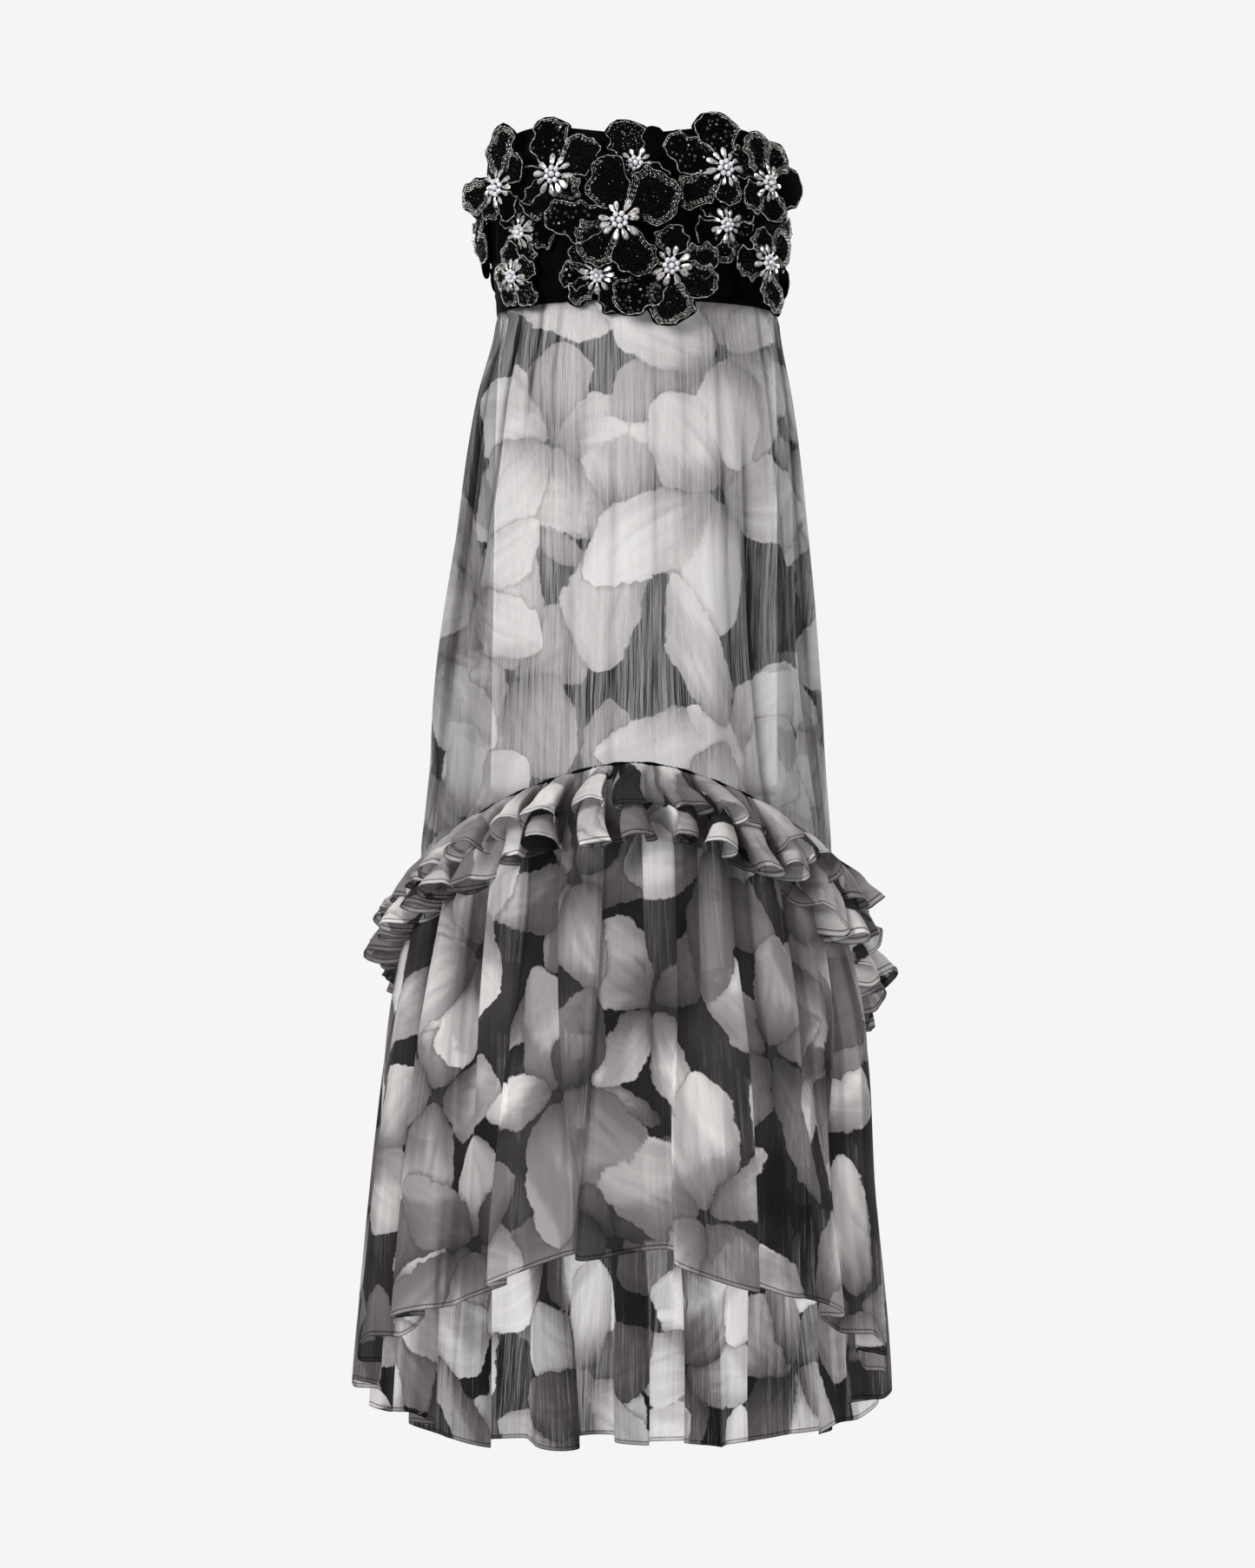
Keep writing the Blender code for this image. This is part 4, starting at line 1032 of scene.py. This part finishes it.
# Name, distance round the bust, height, level over the bodice, lift of the outer side, then the
# petals: direction, length, width and finish. b bugle rows, s sequins, d dense black beads,
# c grey caviar beads, v bare velvet
flowerRows = [
    ("a", -137.0, 12.0, 2, 13.0, "45 38 29 d, 86 63 31 b, 187 54 30 b, 236 34 24 d, 300 35 25 v"),
    ("b", -77.0, 17.0, 1, 0.0, "36 52 35 d, 96 60 38 s, 190 54 33 v, 236 46 37 d, 318 35 25 b"),
    ("c", 1.0, 25.0, 0, 0.0, "58 44 31 v, 106 48 35 c, 198 50 35 d, 262 36 29 d, 328 40 29 v"),
    ("d", 87.0, 24.0, 1, 0.0, "22 44 31 c, 100 59 42 s, 162 63 35 s, 216 58 31 b, 286 35 27 d"),
    ("e", 133.0, 15.0, 2, 9.0, "2 54 32 v, 68 46 31 b, 114 52 33 b, 222 35 27 d, 288 38 29 d"),
    ("f", -122.0, -31.0, 0, 0.0, "56 48 37 d, 124 38 29 v, 200 44 37 v, 272 44 30 d, 350 42 29 s"),
    ("g", -13.0, -26.0, 3, 0.0, "36 60 43 b, 108 56 35 d, 182 69 35 s, 222 50 38 b, 291 56 35 d"),
    ("h", 93.0, -27.0, 0, 0.0, "46 44 31 d, 126 35 27 s, 212 36 31 v, 268 38 31 b, 330 42 33 s"),
    ("i", -38.0, -78.0, 0, 0.0, "70 33 25 d, 132 40 25 c, 176 42 27 s, 216 40 25 d, 308 46 33 d"),
    ("j", 34.0, -67.0, 2, 0.0, "8 48 31 d, 88 38 29 d, 222 71 41 s, 269 67 41 b, 334 52 35 d"),
    ("k", 144.0, -58.0, 1, 8.0, "38 46 33 b, 112 36 27 d, 190 42 31 d, 236 44 31 v, 288 56 29 b"),
    ("l", -133.0, -72.0, 1, 0.0, "20 31 23 c, 98 35 25 d, 176 33 25 b, 240 35 27 d, 304 42 25 c"),
    ("m", -226.0, -20.0, 1, 0.0, "35 46 33 b, 104 42 31 d, 178 44 33 s, 250 40 31 v, 322 44 31 d"),
    ("n", -300.0, 4.0, 0, 0.0, "2 40 31 d, 75 43 33 s, 146 38 29 b, 220 42 33 d, 290 40 29 c"),
    ("o", 226.0, -16.0, 0, 0.0, "25 44 33 s, 96 46 35 d, 170 40 29 b, 242 44 33 v, 312 42 31 d"),
    ("p", 300.0, 2.0, 1, 0.0, "65 43 33 b, 138 40 31 s, 208 42 33 d, 282 38 29 v, 352 41 31 d"),
    ("q", -268.0, -66.0, 0, 0.0, "10 35 27 d, 82 33 25 c, 156 34 27 b, 226 35 27 s, 298 33 25 d"),
    ("r", 264.0, -66.0, 1, 0.0, "40 35 27 s, 112 33 25 d, 184 35 27 b, 258 34 25 v, 330 33 25 d"),
]
# A petal's pad: half its thickness, how cupped it is, its grid, and how wavy its edge is
petalLook = {"pad": 1.25, "cup": 1.6, "rows": 18, "round": 16, "wave": 0.12}
# What is sewn on it, in millimetres, with rows and margins measured from its edge: the outline of
# seed beads, which some bare petals have too; bugles; scattered beads, of which a share is grey,
# and more of caviar beads; sequins, of which a share is silver and smaller; loose beads round them
trimLook = {
    "outline": 2.5, "outlineWave": 0.9, "bareOutlined": 0.5, "seed": 0.72, "seedPitch": 1.75,
    "bugleRows": (4.6, 6.3, 8.0), "bugleLength": 3.6, "bugle": 0.62, "buglePitch": 4.1,
    "bead": 0.74, "beadPitch": 2.3, "beadMargin": 4.4, "innerMargin": 9.6, "greyShare": 0.05,
    "caviarShare": 0.42, "sequin": 2.2, "sequinPitch": 5.8, "sequinMargin": 5.5,
    "sequinShare": 0.55, "silverShare": 0.16, "silverSize": 0.7, "looseBead": 0.8,
    "loosePitch": 1.9,
}
# For each finish with bugles, the rows of them, and where those start and end round the petal
bugleSpans = {"b": (3, 0.04, 0.96), "s": (1, 0.49, 0.94), "d": (2, 0.06, 0.51)}
# Pearls and cut stones: sizes, distances from the middle in pearl radii, heights over the petals,
# ranges of the stones' turn, size and tilt, and the black boss and stem that carry them
jewelLook = {
    "pearl": 2.9, "pearls": 7, "pearlRing": 2.05, "pearlHeights": (6.2, 5.0), "middlePearl": 1.12,
    "stones": 11, "stoneLength": 12.5, "stoneWidth": 5.9, "stoneRing": 2.75, "stoneHeight": 4.6,
    "stoneTurns": (-0.16, 0.16), "stoneSizes": (0.74, 1.16), "stoneTilts": (-0.32, -0.05),
    "boss": 10.5, "bossHeight": 2.2, "bossRise": 3.0, "stem": 6.0,
}
# How far a flower's petals lie over the bodice, and how much further at each level; how wide its
# flat middle is and how much the rest waves; which flowers droop at their inner side and how
# far; the least and largest size of the jewels; how much a petal is enlarged over its table; a
# petal's bends, cups and lobes
flowerLook = {"flat": 5.45, "level": 6.0, "middle": 12.0, "wave": 0.9, "drooping": "mo",
              "droop": 7.5, "jewels": (0.80, 1.0), "longer": 1.05, "wider": 1.22,
              "bends": (-0.10, 0.10), "cups": (-0.4, 1.0), "lobes": (0.0, 0.0, 0.10, 0.16)}


def aroundBust():
    # Angles round the bust, and how far each is from the middle of the front.
    angles = np.linspace(-math.pi, math.pi, 721)
    ring = ringPoint(dressRings, angles, 0.0 * angles)
    distance = np.concatenate([[0.0], np.cumsum(np.linalg.norm(np.diff(ring, axis=0), axis=-1))])
    return angles, distance - distance[len(angles) // 2]


bustAngles, bustDistances = aroundBust()


def onBodice(x, z, out):
    # A point this far out from the bodice's wall, at a distance round it and a height.
    angle = np.interp(x, bustDistances, bustAngles)
    along = ringPoint(dressRings, angle + 0.002, z) - ringPoint(dressRings, angle - 0.002, z)
    fall = ringPoint(dressRings, angle, z - 0.5) - ringPoint(dressRings, angle, z + 0.5)
    normal = unit(np.cross(fall, along))
    return ringPoint(dressRings, angle, z) + normal * np.asarray(out)[..., None]


def readPetals(words):
    # A flower's petals, read from the words of its row.
    petals = []
    for petal in words.split(", "):
        direction, length, width, finish = petal.split()
        petals.append({"direction": math.radians(float(direction)), "finish": finish,
                       "length": float(length) * flowerLook["longer"],
                       "width": float(width) * flowerLook["wider"]})
    return petals


def flowerPoint(flower, p, q, height):
    # p and q lie in the flower's own plane; height is over the middle of its petals, which
    # lift towards the side and wave a little round the flower.
    radius = np.hypot(p, q) + 1e-6
    middle = flowerLook["middle"]
    share = np.clip((radius - middle) / (flower["reach"] - middle), 0, 1.2)
    lift = flower["lift"] * np.clip(flower["side"] * p / radius, 0, 1)
    lift = lift - flower["droop"] * np.clip(-flower["side"] * p / radius, 0, 1)
    wave = flowerLook["wave"] * np.cos(2 * np.arctan2(q, p) + flower["x"])
    return onBodice(flower["x"] + p, flower["z"] + q, flower["flat"] + (lift + wave) * share + height)


def petalHalf(petal, s, c):
    # Half the petal's width along its length: a sine, with waves that differ on its two sides.
    waves = 1 + petalLook["wave"] * (np.sin(9 * s + petal["phase"] + 2 * np.sign(c))
                                     + 0.6 * np.sin(20 * s + 2 * petal["phase"] - np.sign(c)))
    return petal["width"] / 2 * np.sin(math.pi * np.clip(s, 0, 1) ** 1.3) ** 0.62 * waves


def petalPlace(petal, s, c):
    # s runs from the flower's middle to the tip and c across. A lobed tip draws in at its middle.
    along = petal["length"] * s * (1 - petal["lobe"] * np.exp(-(c / 0.35) ** 2) * s ** 6)
    across = petalHalf(petal, s, c) * c + petal["bend"] * petal["length"] * s * s
    cosine, sine = math.cos(petal["direction"]), math.sin(petal["direction"])
    return along * cosine - across * sine, along * sine + across * cosine


def petalRise(petal, s, c):
    # The middle of the pad: cupped along its sides, with a soft wave from foot to tip.
    wave = 0.7 * np.sin(5 * s + petal["phase"]) * s
    return petal["order"] + petal["cup"] * c * c * s + wave


def petalTop(petal, s, c):
    # The pad's upper face: half an ellipse across it, that draws in at both of its ends.
    ends = np.sqrt(np.clip(1 - np.abs(2 * s - 1) ** 8, 0, 1))
    return petalRise(petal, s, c) + petalLook["pad"] * np.sqrt(np.clip(1 - c * c, 0, 1)) * ends


def petalShares(petal, p, q):
    # s and c of a place in the flower's plane.
    cosine, sine = math.cos(petal["direction"]), math.sin(petal["direction"])
    s = np.clip((p * cosine + q * sine) / petal["length"], 0.01, 0.99)
    across = q * cosine - p * sine - petal["bend"] * petal["length"] * s * s
    return s, np.clip(across / np.maximum(petalHalf(petal, s, across), 1.0), -1, 1)


def fan(first, second, apex):
    # A triangle from each edge to one point.
    return np.stack([first, second, 0 * first + apex], axis=-1)


def polarFaces(rings, sides):
    # Faces over rings of points and one more point beyond each end: two caps, and the quads.
    here, there = roundOf(sides)[1:]
    last = (rings - 1) * sides
    caps = np.concatenate([fan(here, there, rings * sides),
                           fan(there + last, here + last, rings * sides + 1)])
    starts = np.arange(rings - 1)[:, None] * sides
    quads = np.stack([starts + here, starts + sides + here, starts + sides + there, starts + there],
                     axis=-1)
    return [caps, quads.reshape(-1, 4)]


class Bench:
    # Shapes gathered into one mesh: points, faces of each number of corners, and materials.
    def __init__(self, materials):
        self.materials, self.points, self.count, self.groups = materials, [], 0, []

    def add(self, points, faces, material, smooth=True):
        # More points, and faces whose numbers go on from those that are there.
        for group in faces:
            self.groups.append((group + self.count, self.materials.index(material), smooth))
        self.points.append(points)
        self.count += len(points)

    def scatter(self, shape, centres, frames, material, smooth=True):
        # One copy of a shape at each centre. Each frame holds its three axes, already sized.
        points, faces = shape
        placed = centres[:, None, :] + np.einsum("vk,nkj->nvj", points, frames)
        starts = np.arange(len(centres))[:, None, None] * len(points)
        copies = [(group[None] + starts).reshape(-1, group.shape[1]) for group in faces]
        self.add(placed.reshape(-1, 3), copies, material, smooth)

    def piece(self, name):
        # One mesh of all that was gathered.
        faces = [group[0] for group in self.groups]
        index, smooth = (np.concatenate([np.full(len(group[0]), group[k]) for group in self.groups])
                         for k in (1, 2))
        piece = makePiece(name, np.concatenate(self.points), faces, self.materials, index)
        piece.data.polygons.foreach_set("use_smooth", smooth)
        return piece


def ballShape(sides, rows):
    # A ball of unit radius: rings between two poles.
    polar = np.linspace(0, math.pi, rows + 1)[1:-1]
    turn = roundOf(sides)[0]
    ring = np.stack([np.outer(np.sin(polar), np.cos(turn)), np.outer(np.sin(polar), np.sin(turn)),
                     np.outer(np.cos(polar), np.ones(sides))], axis=-1).reshape(-1, 3)
    return np.concatenate([ring, [(0.0, 0.0, 1.0), (0.0, 0.0, -1.0)]]), polarFaces(rows - 1, sides)


def barShape(sides):
    # A bar of unit length along its first axis and unit radius, with flat ends.
    turn, here, there = roundOf(sides)
    ends = [np.stack([np.full(sides, x), np.cos(turn), np.sin(turn)], axis=-1) for x in (-0.5, 0.5)]
    walls = np.stack([here, there, there + sides, here + sides], axis=-1)
    return np.concatenate(ends), [walls, np.stack([here[::-1], here + sides])]


def coneShape(sides, top, foot):
    # A round disc of unit radius, raised or sunk at its middle on each face.
    turn, here, there = roundOf(sides)
    rim = np.stack([np.cos(turn), np.sin(turn), 0 * turn], axis=-1)
    faces = np.concatenate([fan(here, there, sides), fan(there, here, sides + 1)])
    return np.concatenate([rim, [(0.0, 0.0, top), (0.0, 0.0, foot)]]), [faces]


def stoneShape():
    # A cut teardrop of unit length, its point at nought: girdle, table and keel.
    turn, here, there = roundOf(10)
    along = 0.5 - 0.5 * np.cos(turn)
    across = 0.68 * np.sin(turn) * (0.25 + 0.75 * along ** 0.7)
    girdle = np.stack([along, across, 0 * turn], axis=-1)
    table = np.stack([0.58 + (along - 0.58) * 0.55, across * 0.55, 0 * turn + 0.26], axis=-1)
    crown = np.concatenate([np.stack([here, there, here + 10], axis=-1),
                            np.stack([there, there + 10, here + 10], axis=-1)])
    faces = [np.concatenate([crown, fan(there, here, 20)]), (here + 10)[None]]
    return np.concatenate([girdle, table, [(0.62, 0.0, -0.2)]]), faces


ball = ballShape(5, 3)
bar = barShape(5)
disc = coneShape(8, 0.12, -0.1)
stone = stoneShape()
pearl = ballShape(10, 7)


def framesAt(flower, place, ahead, sizes, tilt=None):
    # Axes at places on a flower: along, across and out, each given its size.
    p, q, height = place
    centre = flowerPoint(flower, p, q, height)
    out = flowerPoint(flower, p, q, height + 1.0) - centre
    along = flowerPoint(flower, p + ahead[0], q + ahead[1], height) - centre
    if tilt is not None:
        along = unit(along) + out * tilt[:, None]
    along = unit(along)
    across = unit(np.cross(out, along))
    return centre, np.stack([along * sizes[0], across * sizes[1], np.cross(along, across) * sizes[2]],
                            axis=1)


def insetPath(petal, inset, start, end, pitch):
    # Evenly spaced places inside the petal's edge, from one side of its foot round the tip to the
    # other, and the direction of the path at each. Places where the path crowds are left out.
    s = np.concatenate([np.linspace(0.16, 1.0, 90), np.linspace(1.0, 0.16, 90)[1:]])
    c = np.concatenate([np.ones(90), -np.ones(89)])
    edge = np.stack(petalPlace(petal, s - 0.02 * softStep(0.90, 1.0, s), c), axis=-1)
    step = np.gradient(edge, axis=0)
    step = step / np.maximum(np.linalg.norm(step, axis=-1, keepdims=True), 1e-6)
    inward = np.stack([step[:, 1], -step[:, 0]], axis=-1)
    wave = trimLook["outlineWave"] * np.sin(arcLength(edge, 0) / 2.4 + petal["phase"])
    line = edge + inward * (inset + wave)[:, None]
    nearest = np.sqrt(((line[:, None] - edge[None]) ** 2).sum(axis=-1)).min(axis=1)
    line = line[nearest > inset * 0.72]
    if len(line) < 4:
        return np.zeros((0, 2)), np.zeros((0, 2))
    far = arcLength(line, 0)
    at = np.arange(far[-1] * start, far[-1] * end, pitch)
    places = np.stack([np.interp(at, far, line[:, k]) for k in (0, 1)], axis=-1)
    ahead = np.stack([np.interp(at + 0.5, far, line[:, k]) for k in (0, 1)], axis=-1) - places
    return places, ahead


def scatteredPlaces(petal, pitch, margin, rng):
    # Places on a jittered lattice inside the petal, clear of its edge.
    span = petal["length"]
    p, q = np.meshgrid(np.arange(-span, span, pitch), np.arange(-span, span, pitch * 0.87))
    p = p + (np.arange(len(p)) % 2)[:, None] * pitch / 2
    p, q = (value.ravel() + rng.uniform(-0.3, 0.3, value.size) * pitch for value in (p, q))
    cosine, sine = math.cos(petal["direction"]), math.sin(petal["direction"])
    s = (p * cosine + q * sine) / petal["length"]
    across = q * cosine - p * sine - petal["bend"] * petal["length"] * np.clip(s, 0, 1) ** 2
    inside = petalHalf(petal, s, across) - np.abs(across)
    keep = (s > 0.24) & (s < 1 - margin * 1.15 / petal["length"]) & (inside > margin)
    return p[keep], q[keep]


def addPetal(bench, flower, petal):
    # The velvet pad is a loop at each step of its length, closed to a point at both ends.
    look = petalLook
    s, turn = np.meshgrid(np.linspace(0.0, 1.0, look["rows"]) ** 0.85, roundOf(look["round"])[0],
                          indexing="ij")
    ends = np.sqrt(np.clip(1 - np.abs(2 * s - 1) ** 8, 0, 1))
    c = np.cos(turn)
    p, q = petalPlace(petal, s, c)
    height = petalRise(petal, s, c) + look["pad"] * np.sin(turn) * ends
    loops = flowerPoint(flower, p, q, height)
    tips = np.stack([loops[0].mean(axis=0), loops[-1].mean(axis=0)])
    points = np.concatenate([loops[1:-1].reshape(-1, 3), tips])
    bench.add(points, polarFaces(look["rows"] - 2, look["round"]), velvet)


def layBeads(bench, flower, petal, places, radius, material, rng):
    # Beads of uneven sizes, sunk by nearly half their radius into the pad's upper face.
    p, q = places
    if not len(p):
        return
    s, c = petalShares(petal, p, q)
    height = petalTop(petal, s, c) + radius * 0.55
    sizes = radius * rng.uniform(0.85, 1.15, (3, len(p), 1))
    centres, frames = framesAt(flower, (p, q, height), (1.0, 0.0), sizes)
    bench.scatter(ball, centres, frames, material)


def trimPetal(bench, flower, petal, rng):
    # The outline of seed beads, and then what the petal's finish calls for.
    look = trimLook
    finish = petal["finish"]
    if finish != "v" or rng.random() < look["bareOutlined"]:
        places, ahead = insetPath(petal, look["outline"], 0.02, 0.98, look["seedPitch"])
        layBeads(bench, flower, petal, places.T, look["seed"], silverBeads, rng)
    if finish in bugleSpans:
        rows, first, last = bugleSpans[finish]
        for inset in look["bugleRows"][:rows]:
            places, ahead = insetPath(petal, inset, first, last, look["buglePitch"])
            if not len(places):
                continue
            p, q = places.T
            s, c = petalShares(petal, p, q)
            height = petalTop(petal, s, c) + look["bugle"] * 0.6
            ahead = ahead.T / (np.linalg.norm(ahead, axis=-1) + 1e-6)
            sizes = look["bugleLength"], look["bugle"], look["bugle"]
            bench.scatter(bar, *framesAt(flower, (p, q, height), ahead, sizes), darkBugles)
    if finish in "dcb":
        margin = look["innerMargin"] if finish == "b" else look["beadMargin"]
        p, q = scatteredPlaces(petal, look["beadPitch"], margin, rng)
        grey = rng.random(len(p)) < look["caviarShare" if finish == "c" else "greyShare"]
        layBeads(bench, flower, petal, (p[~grey], q[~grey]), look["bead"], blackBeads, rng)
        layBeads(bench, flower, petal, (p[grey], q[grey]), look["bead"], darkBugles, rng)
    if finish == "s":
        p, q = scatteredPlaces(petal, look["sequinPitch"], look["sequinMargin"], rng)
        kept = rng.random(len(p)) < look["sequinShare"]
        p, q = p[kept], q[kept]
        if len(p):
            s, c = petalShares(petal, p, q)
            turn = rng.uniform(0, 6.3, len(p))
            size = look["sequin"] * rng.uniform(0.7, 1.1, (len(p), 1))
            place = p, q, petalTop(petal, s, c) + 0.6
            centres, frames = framesAt(flower, place, (np.cos(turn), np.sin(turn)), [size] * 3,
                                       rng.uniform(-0.3, 0.3, len(p)))
            shiny = rng.random(len(p)) < look["silverShare"]
            bench.scatter(disc, centres[~shiny], frames[~shiny], blackSequins)
            bench.scatter(disc, centres[shiny], frames[shiny] * look["silverSize"], silverBeads)
        p, q = scatteredPlaces(petal, look["beadPitch"] * look["loosePitch"], look["beadMargin"], rng)
        layBeads(bench, flower, petal, (p, q), look["bead"] * look["looseBead"], blackBeads, rng)


def addJewels(bench, flower, rng):
    # A ring of pearls round a larger one, and cut teardrops pointing out from under them.
    look = jewelLook
    scale = flower["jewel"]
    turn = roundOf(look["pearls"])[0] + rng.uniform(0, 1)
    ring = look["pearlRing"] * look["pearl"] * scale
    p = np.concatenate([[0.0], ring * np.cos(turn)])
    q = np.concatenate([[0.0], ring * np.sin(turn)])
    middle = np.arange(len(p)) == 0
    height = np.where(middle, *look["pearlHeights"])
    size = look["pearl"] * scale * np.where(middle, look["middlePearl"], 1.0)[:, None]
    bench.scatter(pearl, *framesAt(flower, (p, q, height), (1.0, 0.0), [size] * 3), pearls)
    turn = roundOf(look["stones"])[0] + rng.uniform(*look["stoneTurns"], look["stones"])
    large = rng.uniform(*look["stoneSizes"], look["stones"])[:, None] * scale
    ring = look["stoneRing"] * look["pearl"] * scale
    place = ring * np.cos(turn), ring * np.sin(turn), np.full(len(turn), look["stoneHeight"])
    sizes = look["stoneLength"] * large, look["stoneWidth"] * large, look["stoneWidth"] * large
    tilts = rng.uniform(*look["stoneTilts"], len(turn))
    centres, frames = framesAt(flower, place, (np.cos(turn), np.sin(turn)), sizes, tilts)
    bench.scatter(stone, centres, frames, crystals, smooth=False)
    # A black boss carries them over the petals' feet, and a short stem joins it to the bodice.
    nought = np.zeros(1)
    boss = flowerPoint(flower, nought, nought, nought + look["bossHeight"])
    out = flowerPoint(flower, nought, nought, nought + look["bossHeight"] + 1) - boss
    side = unit(np.cross(out, [(0.0, 0.0, 1.0)]))
    other = np.cross(out, side)
    wide = look["boss"] * scale
    frame = np.stack([side * wide, other * wide, out * look["bossRise"]], axis=1)
    bench.scatter(pearl, boss, frame, velvet)
    centre = boss - out * (look["bossHeight"] + (flower["flat"] - 1.4) / 2)
    stem = np.stack([out * (flower["flat"] - 1.3), side * look["stem"], other * look["stem"]], axis=1)
    bench.scatter(barShape(12), centre, stem, velvet)


def makeFlowers():
    # Each flower is one piece: padded petals with their trimmings, and jewels at its middle.
    look = flowerLook
    total = 0
    for number, (name, x, z, level, lift, words) in enumerate(flowerRows):
        rng = np.random.default_rng(100 + number)
        petals = readPetals(words)
        reach = max(petal["length"] for petal in petals)
        flower = {"x": x, "z": z, "lift": lift, "side": 1.0 if x > 0 else -1.0, "reach": reach,
                  "flat": look["flat"] + look["level"] * level,
                  "droop": look["droop"] if name in look["drooping"] else 0.0,
                  "jewel": float(np.clip(0.55 + 0.42 * reach / 62, *look["jewels"]))}
        bench = Bench([velvet, silverBeads, darkBugles, blackBeads, blackSequins, pearls, crystals])
        for order, petal in enumerate(petals):
            petal["phase"] = rng.uniform(0, 6.3)
            petal["bend"] = rng.uniform(*look["bends"])
            petal["cup"] = rng.uniform(*look["cups"]) * petalLook["cup"]
            petal["lobe"] = rng.choice(look["lobes"])
            petal["order"] = 0.35 * (order % 3) - 0.3
            addPetal(bench, flower, petal)
            trimPetal(bench, flower, petal, rng)
        addJewels(bench, flower, rng)
        piece = bench.piece("flower" + name.upper())
        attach(piece, "root")
        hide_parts("flower_" + name)
        total += sum(len(group[0]) * (group[0].shape[1] - 2) for group in bench.groups)
    print("flowers:", total, "triangles")


makeBodice()
makeSlip()
makeSkirt()
makeTier()
makeRuffles()
makeFlowers()


# In metres: the camera's distance, place and height of view, and the floor. In millimetres: the
# paper's level reach, the radius of its curves, and its ceiling. Then its light and the room's.
studio = {"distance": 3.0, "side": -0.00675, "height": -0.5877, "view": 1.6254, "floor": -1.425,
          "reach": 6500.0, "curve": 1500.0, "ceiling": 9000.0, "paper": 0.913, "room": 0.17,
          "below": 0.26, "overhead": 0.85}
# Place, the place that it shines at, size, power
lamps = {
    "key": ((-1.9, -2.6, 0.6), (0, 0, -0.5), 1.3, 106.0),
    "fill": ((2.2, -2.5, -0.2), (0, 0, -0.6), 1.6, 34.0),
    "low": ((-0.3, -2.8, -1.2), (0, 0.2, -1.2), 1.2, 24.0),
    "top": ((0.2, -1.2, 2.2), (0, 0, -0.3), 1.0, 24.0),
    "behindLeft": ((-2.0, 2.6, 0.4), (0, 0, -0.6), 1.8, 88.0),
    "behindRight": ((2.3, 2.3, 0.1), (0, 0, -0.6), 1.8, 88.0),
}


def makeStudio():
    # Camera, paper, the room's light and six lamps.
    camera = bpy.data.objects.new("camera", bpy.data.cameras.new("camera"))
    bpy.context.scene.collection.objects.link(camera)
    camera.location = (studio["side"], -studio["distance"], studio["height"])
    camera.rotation_euler = (math.pi / 2, 0, 0)
    camera.data.sensor_fit = "AUTO"
    camera.data.sensor_width = 36.0
    camera.data.lens = 36.0 * studio["distance"] / studio["view"]
    bpy.context.scene.camera = camera

    # Floor, backdrop and ceiling in one sweep all round: flat, a quarter circle, upright, and back.
    reach, curve, ceiling = studio["reach"], studio["curve"], studio["ceiling"]
    turn = np.linspace(0, math.pi / 2, 16)
    radius = np.concatenate([[1.0], reach + curve * np.sin(turn), reach + curve * np.cos(turn), [1.0]])
    height = np.concatenate([[0.0], curve - curve * np.cos(turn),
                             ceiling - curve + curve * np.sin(turn), [ceiling]])
    around = np.linspace(0, 2 * math.pi, 73)[:-1, None]
    points = np.stack([radius * np.sin(around), radius * np.cos(around), height + 0 * around
                       + studio["floor"] / mm], axis=-1)
    faces = gridFaces(72, len(radius), wrap=True, flip=True)
    material, tree, shader = shaderOf("palePaper")
    backdrop = makePiece("backdrop", points.reshape(-1, 3), [faces], [material])
    # Paper that sends out one even light of its own and takes none.
    setInputs(shader, {"Base Color": (0.0, 0.0, 0.0, 1.0), "Roughness": 1.0, "Specular IOR Level": 0.0,
                       "Emission Color": (1.0, 1.0, 1.0, 1.0), "Emission Strength": studio["paper"]})
    backdrop.visible_diffuse = False
    backdrop.visible_glossy = False
    backdrop.visible_shadow = False

    world = bpy.data.worlds.new("studio")
    bpy.context.scene.world = world
    world.use_nodes = True
    # The room's light falls from pale overhead to dim below.
    tree = world.node_tree
    background = tree.nodes["Background"]
    background.inputs["Color"].default_value = (studio["room"],) * 3 + (1.0,)
    parts = addNode(tree, "ShaderNodeSeparateXYZ")
    tree.links.new(addNode(tree, "ShaderNodeTexCoord").outputs["Generated"], parts.inputs["Vector"])
    strength = spread(tree, parts.outputs["Z"], -0.6, 1.0, studio["below"], studio["overhead"])
    tree.links.new(strength, background.inputs["Strength"])
    for name, (place, aim, size, power) in lamps.items():
        light = bpy.data.objects.new(name, bpy.data.lights.new(name, "AREA"))
        light.data.size = size
        light.data.energy = power
        light.location = place
        x, y, z = np.array(aim) - np.array(place)
        light.rotation_euler = (math.atan2(math.hypot(x, y), -z), 0, math.atan2(y, x) - math.pi / 2)
        bpy.context.scene.collection.objects.link(light)
    bpy.context.scene.view_settings.view_transform = "Standard"
    bpy.context.scene.cycles.transparent_max_bounces = 40


makeStudio()
print("studio made")

shown = [piece for piece in bpy.data.objects if piece.type == "MESH" and not piece.hide_render]
print("triangles shown:", sum(len(piece.data.loops) - 2 * len(piece.data.polygons) for piece in shown))
